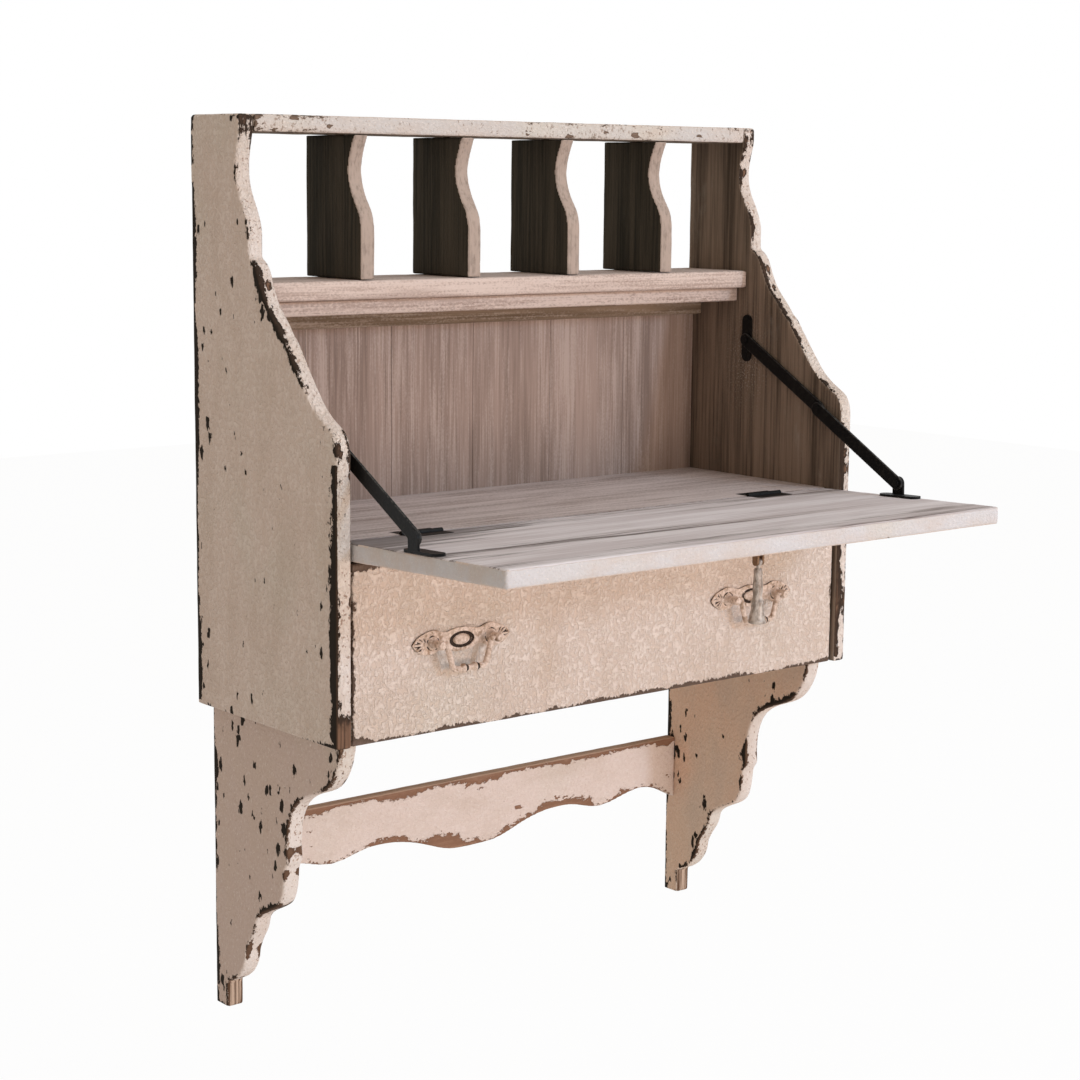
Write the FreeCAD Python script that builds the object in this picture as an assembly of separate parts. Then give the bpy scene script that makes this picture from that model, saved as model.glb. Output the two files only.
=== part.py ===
import FreeCAD, Part
import math
import os

# Fold down wall desk in painted wood: a cabinet with pigeonholes, a flap on two stays, a drawer and
# two scrolled brackets. Millimetres, X across, the wall at Y = 0 and the front towards -Y.
# Heights are taken from the gables' bottom edge, and the finished pieces are moved down at the end,
# so that the origin lies midway between the two wall hanger holes.

# Cabinet
overall_width = 700.0
gable_thickness = 18.0
gable_height = 600.0
gable_depth = 254.0
top_depth = 90.0
top_thickness = 18.0
shelf_top_height = 437.0
shelf_thickness = 20.0
shelf_depth = 100.0
divider_thickness = 18.0
divider_count = 4
stop_rail_height = 16.0
stop_rail_thickness = 16.0
stop_rail_setback = 14.0
cleat_height = 34.0
cleat_thickness = 16.0
back_thickness = 10.0
plank_count = 6
plank_gap = 0.6
floor_top_height = 198.0
floor_thickness = 16.0
bottom_thickness = 15.0
gable_corner_round = 3.0
gable_edge_round = 2.5
board_corner_round = 2.2
board_edge_round = 1.6

# Front outline of a gable: shares of the way from the top's depth to the full depth, and of the height
gable_front_shares = [
    [(0.0, 0.97)],
    [(-0.028, 0.942), (-0.043, 0.912), (-0.022, 0.88), (0.027, 0.855), (0.070, 0.832), (0.092, 0.808)],
    [(0.092, 0.769)],
    [(0.134, 0.764), (0.175, 0.751), (0.204, 0.734), (0.262, 0.703), (0.348, 0.676), (0.435, 0.648)],
    [(0.467, 0.642), (0.509, 0.627), (0.564, 0.607), (0.622, 0.586), (0.690, 0.5625),
     (0.783, 0.536), (0.884, 0.518), (0.963, 0.503), (0.994, 0.484), (1.0, 0.463)],
    [(1.0, 0.0)],
]

# Front outline of a divider: shares of the shelf's depth and of the divider's height, from the shelf up
divider_front_shares = [(1.0, 0.15), (1.0, 0.30), (0.993, 0.386), (0.957, 0.469), (0.878, 0.552),
                        (0.802, 0.655), (0.774, 0.76), (0.803, 0.86), (0.89, 1.0)]

# Brackets and the rail between them
bracket_thickness = 20.0
bracket_setback = 20.0
bracket_height = 327.0
rail_thickness = 15.0
rail_drop = 131.0
rail_height = 81.0

# Front outline of a bracket: shares of its depth and of its height, from its top front corner down
bracket_front_shares = [
    [(0.991, 0.04), (0.965, 0.089), (0.932, 0.125), (0.89, 0.153), (0.80, 0.183), (0.712, 0.21),
     (0.649, 0.245), (0.606, 0.30), (0.59, 0.37), (0.593, 0.431)],
    [(0.566, 0.46)],
    [(0.564, 0.489), (0.556, 0.526), (0.531, 0.57), (0.465, 0.604), (0.36, 0.645)],
    [(0.337, 0.664)],
    [(0.331, 0.685), (0.304, 0.722), (0.262, 0.769)],
    [(0.25, 0.786)],
    [(0.244, 0.815), (0.226, 0.843), (0.176, 0.882), (0.10, 0.909)],
    [(0.10, 1.0)],
    [(0.0, 1.0)],
]

# Wavy lower edge of the rail from its middle to one end: shares of half its length and of its height
rail_wave_shares = [(0.0, 1.0), (0.11, 0.975), (0.22, 0.84), (0.366, 0.716), (0.49, 0.736), (0.59, 0.824),
                    (0.66, 0.815), (0.79, 0.704), (0.866, 0.714), (0.924, 0.79), (1.0, 0.938)]

# Wall hangers let into the back edges of the gables
hanger_height = 560.0
hanger_length = 60.0
hanger_width = 14.0
hanger_thickness = 2.0
hanger_hole_radius = 4.0
hanger_pocket_radius = 5.5
hanger_pocket_depth = 24.0
hanger_screw_spacing = 40.0

# Drawer
drawer_front_thickness = 18.0
drawer_setback = 4.0
drawer_side_gap = 2.5
drawer_top_gap = 1.5
drawer_run_gap = 0.3
drawer_side_thickness = 12.0
drawer_side_drop = 20.7
drawer_back_gap = 8.0
drawer_panel_thickness = 5.0
drawer_panel_rise = 8.0
drawer_groove_depth = 5.0
drawer_groove_fit = 0.2

# Drawer pulls: cast plate, two posts and a hanging bail
pull_inset = 129.5
pull_height = 91.0
pull_half_length = 60.5
pull_half_height = 12.0
pull_plate_thickness = 2.6
pull_post_offset = 36.0
pull_post_radius = 4.0
pull_post_length = 17.0
pull_boss_radius = 7.0
pull_boss_height = 3.6
pull_recess_half_length = 15.5
pull_recess_half_height = 8.2
pull_recess_depth = 1.6
pull_badge_half_length = 10.5
pull_badge_half_height = 5.4
pull_badge_height = 3.4
pull_rib_radius = 1.1
pull_rib_length = 11.5
pull_rib_turn = 30.0
pull_rib_root = 46.0
pull_bolt_radius = 2.0
pull_nut_radius = 4.2
pull_nut_thickness = 3.2
pull_nut_sides = 6
plate_pin_radius = 1.2
plate_pin_length = 11.0
plate_pin_head_radius = 2.4
plate_pin_head_height = 1.2
bail_radius = 3.0
bail_pin_radius = 2.0
bail_pivot_setback = 5.0
bail_leg_offset = 28.0
bail_drop = 26.0
bail_bead_radius = 4.6
bail_bead_offset = 7.0
bail_corner_radius = 6.0
bail_bottom_offset = 20.0

# Lengths of the flutes that fan out at each end of a plate, as shares of the longest one
pull_rib_shares = (0.6, 0.83, 1.0, 0.83, 0.6)

# Upper half of the plate's outline, then its lower half: shares of its half length and half height
plate_top_shares = [(0.0, 1.0), (0.19, 0.93), (0.34, 0.79), (0.54, 1.06), (0.76, 0.88), (0.89, 0.58),
                    (1.0, 0.0)]
plate_low_shares = [(1.0, 0.0), (0.88, -0.63), (0.76, -0.88), (0.56, -0.86), (0.35, -0.56), (0.18, -0.84),
                    (0.0, -0.88)]

# Flap and its hinges
flap_length = 252.0
flap_thickness = 18.5
flap_side_gap = 1.5
flap_rear_gap = 0.6
flap_tilt = 1.8
hinge_inset = 97.0
leaf_length = 50.0
leaf_width = 20.0
leaf_thickness = 1.5
barrel_radius = 3.0
hinge_pin_radius = 1.3
knuckle_count = 3
knuckle_gap = 0.3

# Lid stays: wall plate, two folding links and a foot on the flap
stay_pivot_depth = 102.0
stay_pivot_drop = 60.0
stay_plate_length = 54.0
stay_plate_width = 15.0
stay_plate_rise = 2.0
stay_plate_recess = 1.5
stay_steel = 2.5
stay_gap = 0.3
stay_upper_length = 140.0
stay_link_width = 15.0
stay_foot_reach = 114.0
stay_foot_lift = 14.0
stay_foot_rear = 19.0
stay_foot_inset = 1.2
stay_lug_width = 15.0
rivet_radius = 2.4
rivet_head_radius = 4.2
rivet_head_height = 1.4
rivet_tail_height = 0.8

# Drop pull under the flap's front edge
drop_setback = 24.0
drop_mount_radius = 7.0
drop_mount_thickness = 2.5
drop_pin_fall = 10.0
drop_ear_thickness = 2.4
drop_ear_width = 7.0
drop_eye_thickness = 4.0
drop_eye_gap = 0.3
drop_pin_radius = 1.3
drop_neck_length = 6.0
drop_length = 54.0
drop_radius = 8.8

# Turned outline of the drop: shares of its largest radius and of its length, from the neck down
drop_turn_shares = [(0.36, 0.0), (0.46, 0.05), (0.47, 0.12), (0.56, 0.40), (0.66, 0.585), (0.72, 0.60),
                    (0.74, 0.62), (0.72, 0.64), (0.70, 0.655), (0.82, 0.86), (0.93, 0.93), (1.0, 0.955),
                    (1.0, 0.985), (0.86, 1.0)]

# Fastenings
dowel_radius = 4.0
dowel_in_gable = 11.0
dowel_in_board = 20.0
drawer_dowel_radius = 3.0
drawer_dowel_in_front = 10.0
drawer_dowel_in_side = 18.0
divider_dowel_half = 9.0
dowel_fit = 0.05
screw_fit = 0.05
running_fit = 0.06
cut_overrun = 1.0
wood_screw = {"length": 16.0, "shank": 1.5, "head": 3.0, "taper": 1.8}
hanger_screw = {"length": 26.0, "shank": 1.8, "head": 3.4, "taper": 1.6}
bracket_screw = {"length": 58.0, "shank": 2.3, "head": 4.4, "taper": 2.6}
back_nail = {"length": 22.0, "shank": 1.0, "head": 2.2, "taper": 1.0}
leaf_screw = {"length": 11.0, "shank": 1.1, "head": 2.2, "taper": 1.2}

# Places of the dowels and screws, as shares of the lengths that carry them
wide_dowel_shares = (0.15, 0.5, 0.85)
narrow_dowel_shares = (0.25, 0.75)
bracket_screw_shares = (0.25, 0.8)
leaf_screw_shares = (0.2, 0.8)
plank_nail_shares = (0.2, 0.8)
drawer_dowel_shares = (0.2, 0.5, 0.8)
stay_screw_shares = (0.14, 0.86)

Vector = FreeCAD.Vector
inner_half = overall_width / 2 - gable_thickness
top_underside = gable_height - top_thickness
shelf_underside = shelf_top_height - shelf_thickness
floor_underside = floor_top_height - floor_thickness
flap_underside = floor_top_height - flap_thickness
drawer_face = gable_depth - drawer_setback
hinge_depth = drawer_face - drawer_front_thickness
bracket_depth = gable_depth - bracket_setback
floor_front = hinge_depth - flap_rear_gap
hand = {"left": -1, "right": 1}
touch = 0.001
nodes = {}
holes = {}


def board(x_low, x_high, back, front, low, high):
    """Board between two X places, two depths from the wall and two heights."""
    return Part.makeBox(x_high - x_low, front - back, high - low, Vector(x_low, -front, low))


def across(side, near, far):
    """Two X places, in order, at these distances inwards from a gable's inner face."""
    first = side * (inner_half - near)
    second = side * (inner_half - far)
    return min(first, second), max(first, second)


def rounded(shape, radius, keep):
    """Shape with a small round on every edge that keep accepts by its middle point."""
    edges = []
    for edge in shape.Edges:
        middle = edge.valueAt((edge.FirstParameter + edge.LastParameter) / 2)
        if keep(middle):
            edges.append(edge)
    return shape.makeFillet(radius, edges)


def softened(shape, middle, corner_round, edge_round, keep):
    """Sawn plate with the corners of its outline eased first, then the edges of both its faces."""
    eased = rounded(shape, corner_round, lambda at: abs(at.x - middle) < touch and keep(at))
    return rounded(eased, edge_round, lambda at: abs(at.x - middle) > touch and keep(at))


def cylinder(start, direction, radius, length):
    """Round bar from a start point along a direction."""
    return Part.makeCylinder(radius, length, start, direction)


def run(points):
    """One stretch of an outline: a line through two points, a smooth curve through more."""
    if len(points) == 2:
        return Part.LineSegment(points[0], points[1]).toShape()
    curve = Part.BSplineCurve()
    curve.interpolate(points)
    return curve.toShape()


def outline_face(start, stretches, place):
    """Flat face inside an outline of stretches, each one going on from the end of the last."""
    edges = []
    last = start
    for stretch in stretches:
        points = [place(*share) for share in [last] + list(stretch)]
        edges.append(run(points))
        last = stretch[-1]
    if (place(*last) - place(*start)).Length > 0:
        edges.append(run([place(*last), place(*start)]))
    return Part.Face(Part.Wire(edges))


def slot_plate(x_low, x_high, depth, height, half_depth, half_height):
    """Flat plate in the plane of a gable with round ends, long in depth or in height."""
    radius = min(half_depth, half_height)
    reach_depth = half_depth - radius
    reach_height = half_height - radius
    plate = None
    for way in (-1, 1):
        centre = Vector(x_low, -(depth + way * reach_depth), height + way * reach_height)
        end = cylinder(centre, Vector(1, 0, 0), radius, x_high - x_low)
        plate = end if plate is None else plate.fuse(end)
    across_depth = reach_depth if reach_depth > 0 else radius
    across_height = reach_height if reach_height > 0 else radius
    middle = board(x_low, x_high, depth - across_depth, depth + across_depth,
                   height - across_height, height + across_height)
    return plate.fuse(middle).removeSplitter()


def drill(names, hole):
    """Notes a hole for each of the named pieces, to be cut when all the pieces are there."""
    for name in names:
        holes.setdefault(name, []).append(hole)


def screw(head_at, direction, size):
    """Countersunk screw whose head's face lies at a point and whose shank goes along a direction."""
    taper = Part.makeCone(size["head"], size["shank"], size["taper"], head_at, direction)
    shank = cylinder(head_at, direction, size["shank"], size["length"])
    return taper.fuse(shank).removeSplitter()


def screw_hole(head_at, direction, size):
    """Countersunk hole that the same screw sits in."""
    wide = {name: value + screw_fit for name, value in size.items()}
    mouth = cylinder(head_at, direction * -1, wide["head"], cut_overrun)
    return screw(head_at, direction, wide).fuse(mouth)


# Gables with their scrolled fronts
for name, side in hand.items():
    x_low, x_high = across(side, -gable_thickness, 0)

    def gable_place(depth_share, height_share):
        depth = top_depth + depth_share * (gable_depth - top_depth)
        return Vector(x_low, -depth, height_share * gable_height)

    back_share = -top_depth / (gable_depth - top_depth)
    around = gable_front_shares + [[(back_share, 0.0)], [(back_share, 1.0)]]
    gable = outline_face((0.0, 1.0), around, gable_place).extrude(Vector(x_high - x_low, 0, 0))
    nodes[name + "_gable"] = softened(gable, (x_low + x_high) / 2, gable_corner_round, gable_edge_round,
                                      lambda at: at.y < -gable_corner_round and at.z > gable_corner_round)

# Top board, pigeonhole shelf, writing floor and bottom board, all between the gables


def cross_board(back, front, low, high):
    """Board from gable to gable with its two front edges rounded."""
    plain = board(-inner_half, inner_half, back, front, low, high)
    return rounded(plain, board_edge_round, lambda at: at.x == 0 and at.y == -front)


nodes["top_board"] = cross_board(0, top_depth, top_underside, gable_height)
nodes["pigeonhole_shelf"] = cross_board(0, shelf_depth, shelf_underside, shelf_top_height)
nodes["writing_floor"] = board(-inner_half, inner_half, back_thickness, floor_front,
                               floor_underside, floor_top_height)
nodes["bottom_board"] = board(-inner_half, inner_half, back_thickness, floor_front, 0, bottom_thickness)

# Dividers that part the pigeonholes evenly
divider_height = top_underside - shelf_top_height
hole_width = (2 * inner_half - divider_count * divider_thickness) / (divider_count + 1)
divider_pitch = hole_width + divider_thickness
divider_names = ["divider_%d" % (number + 1) for number in range(divider_count)]
divider_middles = [(number - (divider_count - 1) / 2) * divider_pitch for number in range(divider_count)]
for name, middle in zip(divider_names, divider_middles):
    x_low = middle - divider_thickness / 2

    def divider_place(depth_share, height_share):
        return Vector(x_low, -depth_share * shelf_depth, shelf_top_height + height_share * divider_height)

    around = [divider_front_shares, [(0.0, 1.0)], [(0.0, 0.0)]]
    divider = outline_face((1.0, 0.0), around, divider_place).extrude(Vector(divider_thickness, 0, 0))
    nodes[name] = rounded(divider, board_edge_round, lambda at: (
        abs(at.x - middle) > touch and at.y < -touch and shelf_top_height < at.z < top_underside))

# Strip under the shelf that the closed flap rests on, and the cleat that carries the shelf at the back
stop_front = shelf_depth - stop_rail_setback
nodes["flap_stop_rail"] = cross_board(stop_front - stop_rail_thickness, stop_front,
                                      shelf_underside - stop_rail_height, shelf_underside)
nodes["shelf_cleat"] = cross_board(back_thickness, back_thickness + cleat_thickness,
                                   shelf_underside - cleat_height, shelf_underside)

# Upright planks of the back, behind the writing space and the drawer
plank_pitch = 2 * inner_half / plank_count
planks = []
for number in range(plank_count):
    x_low = -inner_half + number * plank_pitch + plank_gap / 2
    planks.append(board(x_low, x_low + plank_pitch - plank_gap, 0, back_thickness, 0, shelf_underside))
nodes["back_planks"] = Part.makeCompound(planks)

# Nails that hold each plank to the bottom board, the writing floor and the shelf's cleat
back_nails = []
nailed_heights = {
    "bottom_board": bottom_thickness / 2,
    "writing_floor": floor_top_height - floor_thickness / 2,
    "shelf_cleat": shelf_underside - cleat_height / 2,
}
for number in range(plank_count):
    for share in plank_nail_shares:
        for board_name, height in nailed_heights.items():
            head_at = Vector(-inner_half + (number + share) * plank_pitch, 0, height)
            drill(["back_planks", board_name], screw_hole(head_at, Vector(0, -1, 0), back_nail))
            back_nails.append(screw(head_at, Vector(0, -1, 0), back_nail))
nodes["back_nails"] = Part.makeCompound(back_nails)

# Scrolled brackets under the bottom board, just inside the gables
for name, side in hand.items():
    x_low, x_high = across(side, 0, bracket_thickness)

    def bracket_place(depth_share, drop_share):
        return Vector(x_low, -depth_share * bracket_depth, -drop_share * bracket_height)

    around = bracket_front_shares + [[(0.0, 0.0)], [(1.0, 0.0)]]
    bracket = outline_face((1.0, 0.0), around, bracket_place).extrude(Vector(x_high - x_low, 0, 0))
    nodes[name + "_bracket"] = softened(
        bracket, (x_low + x_high) / 2, board_corner_round, board_edge_round,
        lambda at: at.y < -board_corner_round and -bracket_height < at.z < -board_corner_round)

# Lower rail between the brackets, with a wavy lower edge
rail_half = inner_half - bracket_thickness


def rail_place(length_share, drop_share):
    return Vector(length_share * rail_half, 0, -rail_drop - drop_share * rail_height)


rail_left_half = [(-length_share, drop_share) for length_share, drop_share in rail_wave_shares[::-1]]
rail_wave = rail_left_half + rail_wave_shares[1:]
rail_around = [[rail_wave[0]], rail_wave[1:], [(1.0, 0.0)]]
rail = outline_face((-1.0, 0.0), rail_around, rail_place).extrude(Vector(0, -rail_thickness, 0))
nodes["lower_rail"] = rounded(rail, board_edge_round, lambda at: (
    at.y == -rail_thickness and abs(at.x) < rail_half))

# Hanger plates, let in flush, with a round pocket behind each hole for the head of the wall screw
hanger_plates = []
hanger_screws = []
for name, side in hand.items():
    middle = side * (inner_half + gable_thickness / 2)
    seat = board(middle - hanger_width / 2, middle + hanger_width / 2, 0, hanger_thickness,
                 hanger_height - hanger_length / 2, hanger_height + hanger_length / 2)
    hole_at = Vector(middle, 0, hanger_height)
    inwards = Vector(0, -1, 0)
    plate = seat.cut(cylinder(hole_at, inwards, hanger_hole_radius, hanger_thickness))
    drill([name + "_gable"], seat)
    drill([name + "_gable"], cylinder(hole_at, inwards, hanger_pocket_radius, hanger_pocket_depth))
    for way in (-1, 1):
        head_at = hole_at + Vector(0, 0, way * hanger_screw_spacing / 2)
        hole = screw_hole(head_at, inwards, hanger_screw)
        plate = plate.cut(hole)
        drill([name + "_gable"], hole)
        hanger_screws.append(screw(head_at, inwards, hanger_screw))
    hanger_plates.append(plate)
nodes["hanger_plates"] = Part.makeCompound(hanger_plates)
nodes["hanger_screws"] = Part.makeCompound(hanger_screws)

# Dowels that join the cross boards to the gables, the rail to the brackets and the dividers to both boards
carcass_dowels = []


def dowel(start, direction, radius, length, names):
    """Dowel between two pieces, with its hole drilled in both."""
    end_room = direction * dowel_fit
    drill(names, cylinder(start - end_room, direction, radius + dowel_fit, length + 2 * dowel_fit))
    return cylinder(start, direction, radius, length)


joined_boards = [
    ("top_board", 0, top_depth, gable_height - top_thickness / 2, narrow_dowel_shares),
    ("pigeonhole_shelf", 0, shelf_depth, shelf_top_height - shelf_thickness / 2, narrow_dowel_shares),
    ("writing_floor", back_thickness, floor_front, floor_top_height - floor_thickness / 2, wide_dowel_shares),
    ("bottom_board", back_thickness, floor_front, bottom_thickness / 2, wide_dowel_shares),
]
for name, side in hand.items():
    inwards = Vector(-side, 0, 0)
    for board_name, back, front, height, shares in joined_boards:
        for share in shares:
            depth = back + share * (front - back)
            start = Vector(side * (inner_half + dowel_in_gable), -depth, height)
            carcass_dowels.append(dowel(start, inwards, dowel_radius, dowel_in_gable + dowel_in_board,
                                        [name + "_gable", board_name]))
    for share in narrow_dowel_shares:
        height = -rail_drop - share * rail_height * rail_wave_shares[-1][1]
        start = Vector(side * (rail_half + dowel_in_gable), -rail_thickness / 2, height)
        carcass_dowels.append(dowel(start, inwards, dowel_radius, dowel_in_gable + dowel_in_board,
                                    [name + "_bracket", "lower_rail"]))
for name, middle in zip(divider_names, divider_middles):
    for height, board_name in ((shelf_top_height, "pigeonhole_shelf"), (top_underside, "top_board")):
        start = Vector(middle, -shelf_depth / 2, height - divider_dowel_half)
        carcass_dowels.append(dowel(start, Vector(0, 0, 1), dowel_radius, 2 * divider_dowel_half,
                                    [name, board_name]))
nodes["carcass_dowels"] = Part.makeCompound(carcass_dowels)

# Long screws that go down through the bottom board into each bracket's top edge
bracket_screws = []
down = Vector(0, 0, -1)
for name, side in hand.items():
    for share in bracket_screw_shares:
        middle = side * (inner_half - bracket_thickness / 2)
        head_at = Vector(middle, -share * bracket_depth, bottom_thickness)
        drill(["bottom_board", name + "_bracket"], screw_hole(head_at, down, bracket_screw))
        bracket_screws.append(screw(head_at, down, bracket_screw))
nodes["bracket_screws"] = Part.makeCompound(bracket_screws)

# Drawer: front over the bottom board's edge, two sides, a back and a thin bottom in grooves
drawer_half = inner_half - drawer_side_gap
drawer_front_top = min(floor_underside, flap_underside) - drawer_top_gap
drawer_foot = bottom_thickness + drawer_run_gap
drawer_side_top = floor_underside - drawer_side_drop
drawer_back = back_thickness + drawer_back_gap
drawer_inside = drawer_half - drawer_side_thickness
front_plain = board(-drawer_half, drawer_half, hinge_depth, drawer_face, drawer_run_gap, drawer_front_top)
nodes["drawer_front"] = rounded(front_plain, board_edge_round, lambda at: at.y == -drawer_face)
for name, side in hand.items():
    x_low, x_high = across(side, drawer_side_gap, drawer_side_gap + drawer_side_thickness)
    nodes["drawer_%s_side" % name] = board(x_low, x_high, drawer_back, hinge_depth,
                                           drawer_foot, drawer_side_top)
nodes["drawer_back"] = board(-drawer_inside, drawer_inside, drawer_back, drawer_back + drawer_side_thickness,
                             drawer_foot, drawer_side_top)
panel_half = drawer_inside + drawer_groove_depth
panel_back = drawer_back + drawer_side_thickness - drawer_groove_depth
panel_front = hinge_depth + drawer_groove_depth
panel_low = drawer_foot + drawer_panel_rise
panel_high = panel_low + drawer_panel_thickness
nodes["drawer_bottom"] = board(-panel_half, panel_half, panel_back, panel_front, panel_low, panel_high)
groove_half = panel_half + drawer_groove_fit
groove = board(-groove_half, groove_half, panel_back - drawer_groove_fit, panel_front + drawer_groove_fit,
               panel_low - drawer_groove_fit, panel_high + drawer_groove_fit)
drill(["drawer_front", "drawer_left_side", "drawer_right_side", "drawer_back"], groove)

# Dowels from the drawer's front into the ends of its sides, and through the sides into the ends of its back
drawer_dowels = []
back_middle = drawer_back + drawer_side_thickness / 2
for name, side in hand.items():
    side_name = "drawer_%s_side" % name
    for share in drawer_dowel_shares:
        height = panel_high + share * (drawer_side_top - panel_high)
        side_middle = side * (drawer_half - drawer_side_thickness / 2)
        start = Vector(side_middle, -hinge_depth - drawer_dowel_in_front, height)
        drawer_dowels.append(dowel(start, Vector(0, 1, 0), drawer_dowel_radius,
                                   drawer_dowel_in_front + drawer_dowel_in_side, ["drawer_front", side_name]))
        start = Vector(side * drawer_half, -back_middle, height)
        drawer_dowels.append(dowel(start, Vector(-side, 0, 0), drawer_dowel_radius,
                                   drawer_side_thickness + drawer_dowel_in_side, [side_name, "drawer_back"]))
nodes["drawer_dowels"] = Part.makeCompound(drawer_dowels)

# Drawer pulls
pull_posts = []
pull_nuts = []
plate_pins = []
face_out = Vector(0, -1, 0)
face_in = Vector(0, 1, 0)
pull_offset = drawer_half - pull_inset
bail_pivot_depth = drawer_face + pull_plate_thickness + pull_post_length - bail_pivot_setback
bolt_length = drawer_front_thickness + pull_plate_thickness
for name, side in hand.items():
    centre = Vector(side * pull_offset, -drawer_face, pull_height)

    def plate_place(length_share, height_share):
        return centre + Vector(length_share * pull_half_length, 0, height_share * pull_half_height)

    def mirrored(shares):
        return [(-length_share, height_share) for length_share, height_share in shares[::-1]]

    around = [plate_top_shares[1:], plate_low_shares[1:],
              mirrored(plate_low_shares)[1:], mirrored(plate_top_shares)[1:]]
    plate = outline_face(plate_top_shares[0], around, plate_place).extrude(face_out * pull_plate_thickness)
    plate_front = centre + face_out * pull_plate_thickness
    recess_rim = Part.Ellipse(plate_front + Vector(pull_recess_half_length, 0, 0),
                              plate_front + Vector(0, 0, pull_recess_half_height), plate_front)
    recess = Part.Face(Part.Wire(recess_rim.toShape())).extrude(face_in * pull_recess_depth)
    plate = plate.cut(recess)
    badge = Part.makeSphere(pull_badge_half_height)
    stretch = FreeCAD.Matrix()
    stretch.scale(pull_badge_half_length / pull_badge_half_height,
                  pull_badge_height / pull_badge_half_height, 1)
    badge = badge.transformGeometry(stretch)
    badge.translate(plate_front + face_in * pull_recess_depth)
    behind = board(centre.x - pull_half_length, centre.x + pull_half_length, hinge_depth, drawer_face,
                   pull_height - pull_half_length, pull_height + pull_half_length)
    plate = plate.fuse(badge.cut(behind))
    for way in (-1, 1):
        post_at = plate_front + Vector(way * pull_post_offset, 0, 0)
        boss = Part.makeCone(pull_boss_radius, pull_post_radius, pull_boss_height, post_at, face_out)
        plate = plate.fuse(boss)
        fan_at = plate_front + Vector(way * pull_rib_root, 0, 0)
        for number, share in enumerate(pull_rib_shares):
            turn = math.radians((number - (len(pull_rib_shares) - 1) / 2) * pull_rib_turn)
            ray = Vector(way * math.cos(turn), 0, math.sin(turn))
            rib = cylinder(fan_at, ray, pull_rib_radius, share * pull_rib_length)
            rib_tip = Part.makeSphere(pull_rib_radius, fan_at + ray * (share * pull_rib_length))
            plate = plate.fuse(rib).fuse(rib_tip)
    for way in (-1, 1):
        post_at = plate_front + Vector(way * pull_post_offset, 0, 0)
        bolt_end = post_at + face_in * bolt_length
        shank_hole = cylinder(post_at + face_out * pull_boss_height, face_in, pull_bolt_radius + screw_fit,
                              bolt_length + pull_boss_height)
        plate = plate.cut(shank_hole)
        drill(["drawer_front"], shank_hole)
        post_foot = post_at + face_out * pull_boss_height
        post = cylinder(post_foot, face_out, pull_post_radius, pull_post_length - pull_boss_height)
        bolt = cylinder(post_foot, face_in, pull_bolt_radius,
                        pull_boss_height + bolt_length + pull_nut_thickness)
        ball_at = Vector(post_at.x, -bail_pivot_depth, pull_height)
        post = post.fuse(bolt).fuse(Part.makeSphere(bail_pivot_setback, ball_at))
        pin_hole = cylinder(ball_at - Vector(bail_pivot_setback, 0, 0), Vector(1, 0, 0),
                            bail_pin_radius + running_fit, 2 * bail_pivot_setback)
        pull_posts.append(post.cut(pin_hole))
        corners = [bolt_end + Vector(math.cos(2 * math.pi * corner / pull_nut_sides), 0,
                                     math.sin(2 * math.pi * corner / pull_nut_sides)) * pull_nut_radius
                   for corner in range(pull_nut_sides + 1)]
        nut = Part.Face(Part.makePolygon(corners)).extrude(face_in * pull_nut_thickness)
        nut_hole = cylinder(bolt_end, face_in, pull_bolt_radius + screw_fit, pull_nut_thickness)
        pull_nuts.append(nut.cut(nut_hole))
        pin_at = plate_front + Vector(way * pull_rib_root, 0, 0) + face_out * pull_rib_radius
        pin = cylinder(pin_at, face_in, plate_pin_radius, plate_pin_length)
        head = cylinder(pin_at, face_out, plate_pin_head_radius, plate_pin_head_height)
        pin_way = cylinder(pin_at, face_in, plate_pin_radius + screw_fit, plate_pin_length + screw_fit)
        plate_pins.append(pin.fuse(head).removeSplitter())
        plate = plate.cut(pin_way)
        drill(["drawer_front"], pin_way)
    nodes["%s_pull_plate" % name] = plate.removeSplitter()
    leg_top = Vector(bail_leg_offset, 0, 0)
    corner_at = Vector(bail_bottom_offset, 0, -bail_drop)
    leg = (corner_at - leg_top).normalize()
    bend = math.acos(leg.dot(Vector(-1, 0, 0)))
    trim = bail_corner_radius * math.tan(bend / 2)
    arc_start = corner_at - leg * trim
    arc_end = corner_at - Vector(trim, 0, 0)
    inside = ((arc_start - corner_at).normalize() + Vector(-1, 0, 0)).normalize()
    arc_middle = corner_at + inside * (bail_corner_radius / math.cos(bend / 2) - bail_corner_radius)
    right_half = [leg_top, arc_start, arc_middle, arc_end]
    left_half = [Vector(-at.x, at.y, at.z) for at in right_half]
    path = [run(right_half[:2]), Part.Arc(*right_half[1:]).toShape(), run([right_half[3], left_half[3]]),
            Part.Arc(*left_half[:0:-1]).toShape(), run(left_half[1::-1])]
    section = Part.Wire(Part.Circle(leg_top, leg, bail_radius).toShape())
    bail = Part.Wire(path).makePipeShell([section], True, False)
    pin_reach = pull_post_offset + bail_pivot_setback - bail_leg_offset
    for way in (-1, 1):
        outwards = Vector(way, 0, 0)
        bead_at = Vector(way * bail_bead_offset, 0, -bail_drop)
        bail = bail.fuse([Part.makeSphere(bail_radius, outwards * bail_leg_offset, outwards),
                          cylinder(outwards * bail_leg_offset, outwards, bail_pin_radius, pin_reach),
                          Part.makeSphere(bail_bead_radius, bead_at, outwards)])
    bail = bail.removeSplitter()
    bail.translate(Vector(centre.x, -bail_pivot_depth, pull_height))
    nodes["%s_bail" % name] = bail
nodes["pull_posts"] = Part.makeCompound(pull_posts)
nodes["pull_nuts"] = Part.makeCompound(pull_nuts)
nodes["pull_plate_pins"] = Part.makeCompound(plate_pins)

# Flap panel, made level on the hinge line and then raised by its small tilt
hinge_line = Vector(0, -hinge_depth, floor_top_height)


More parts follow.
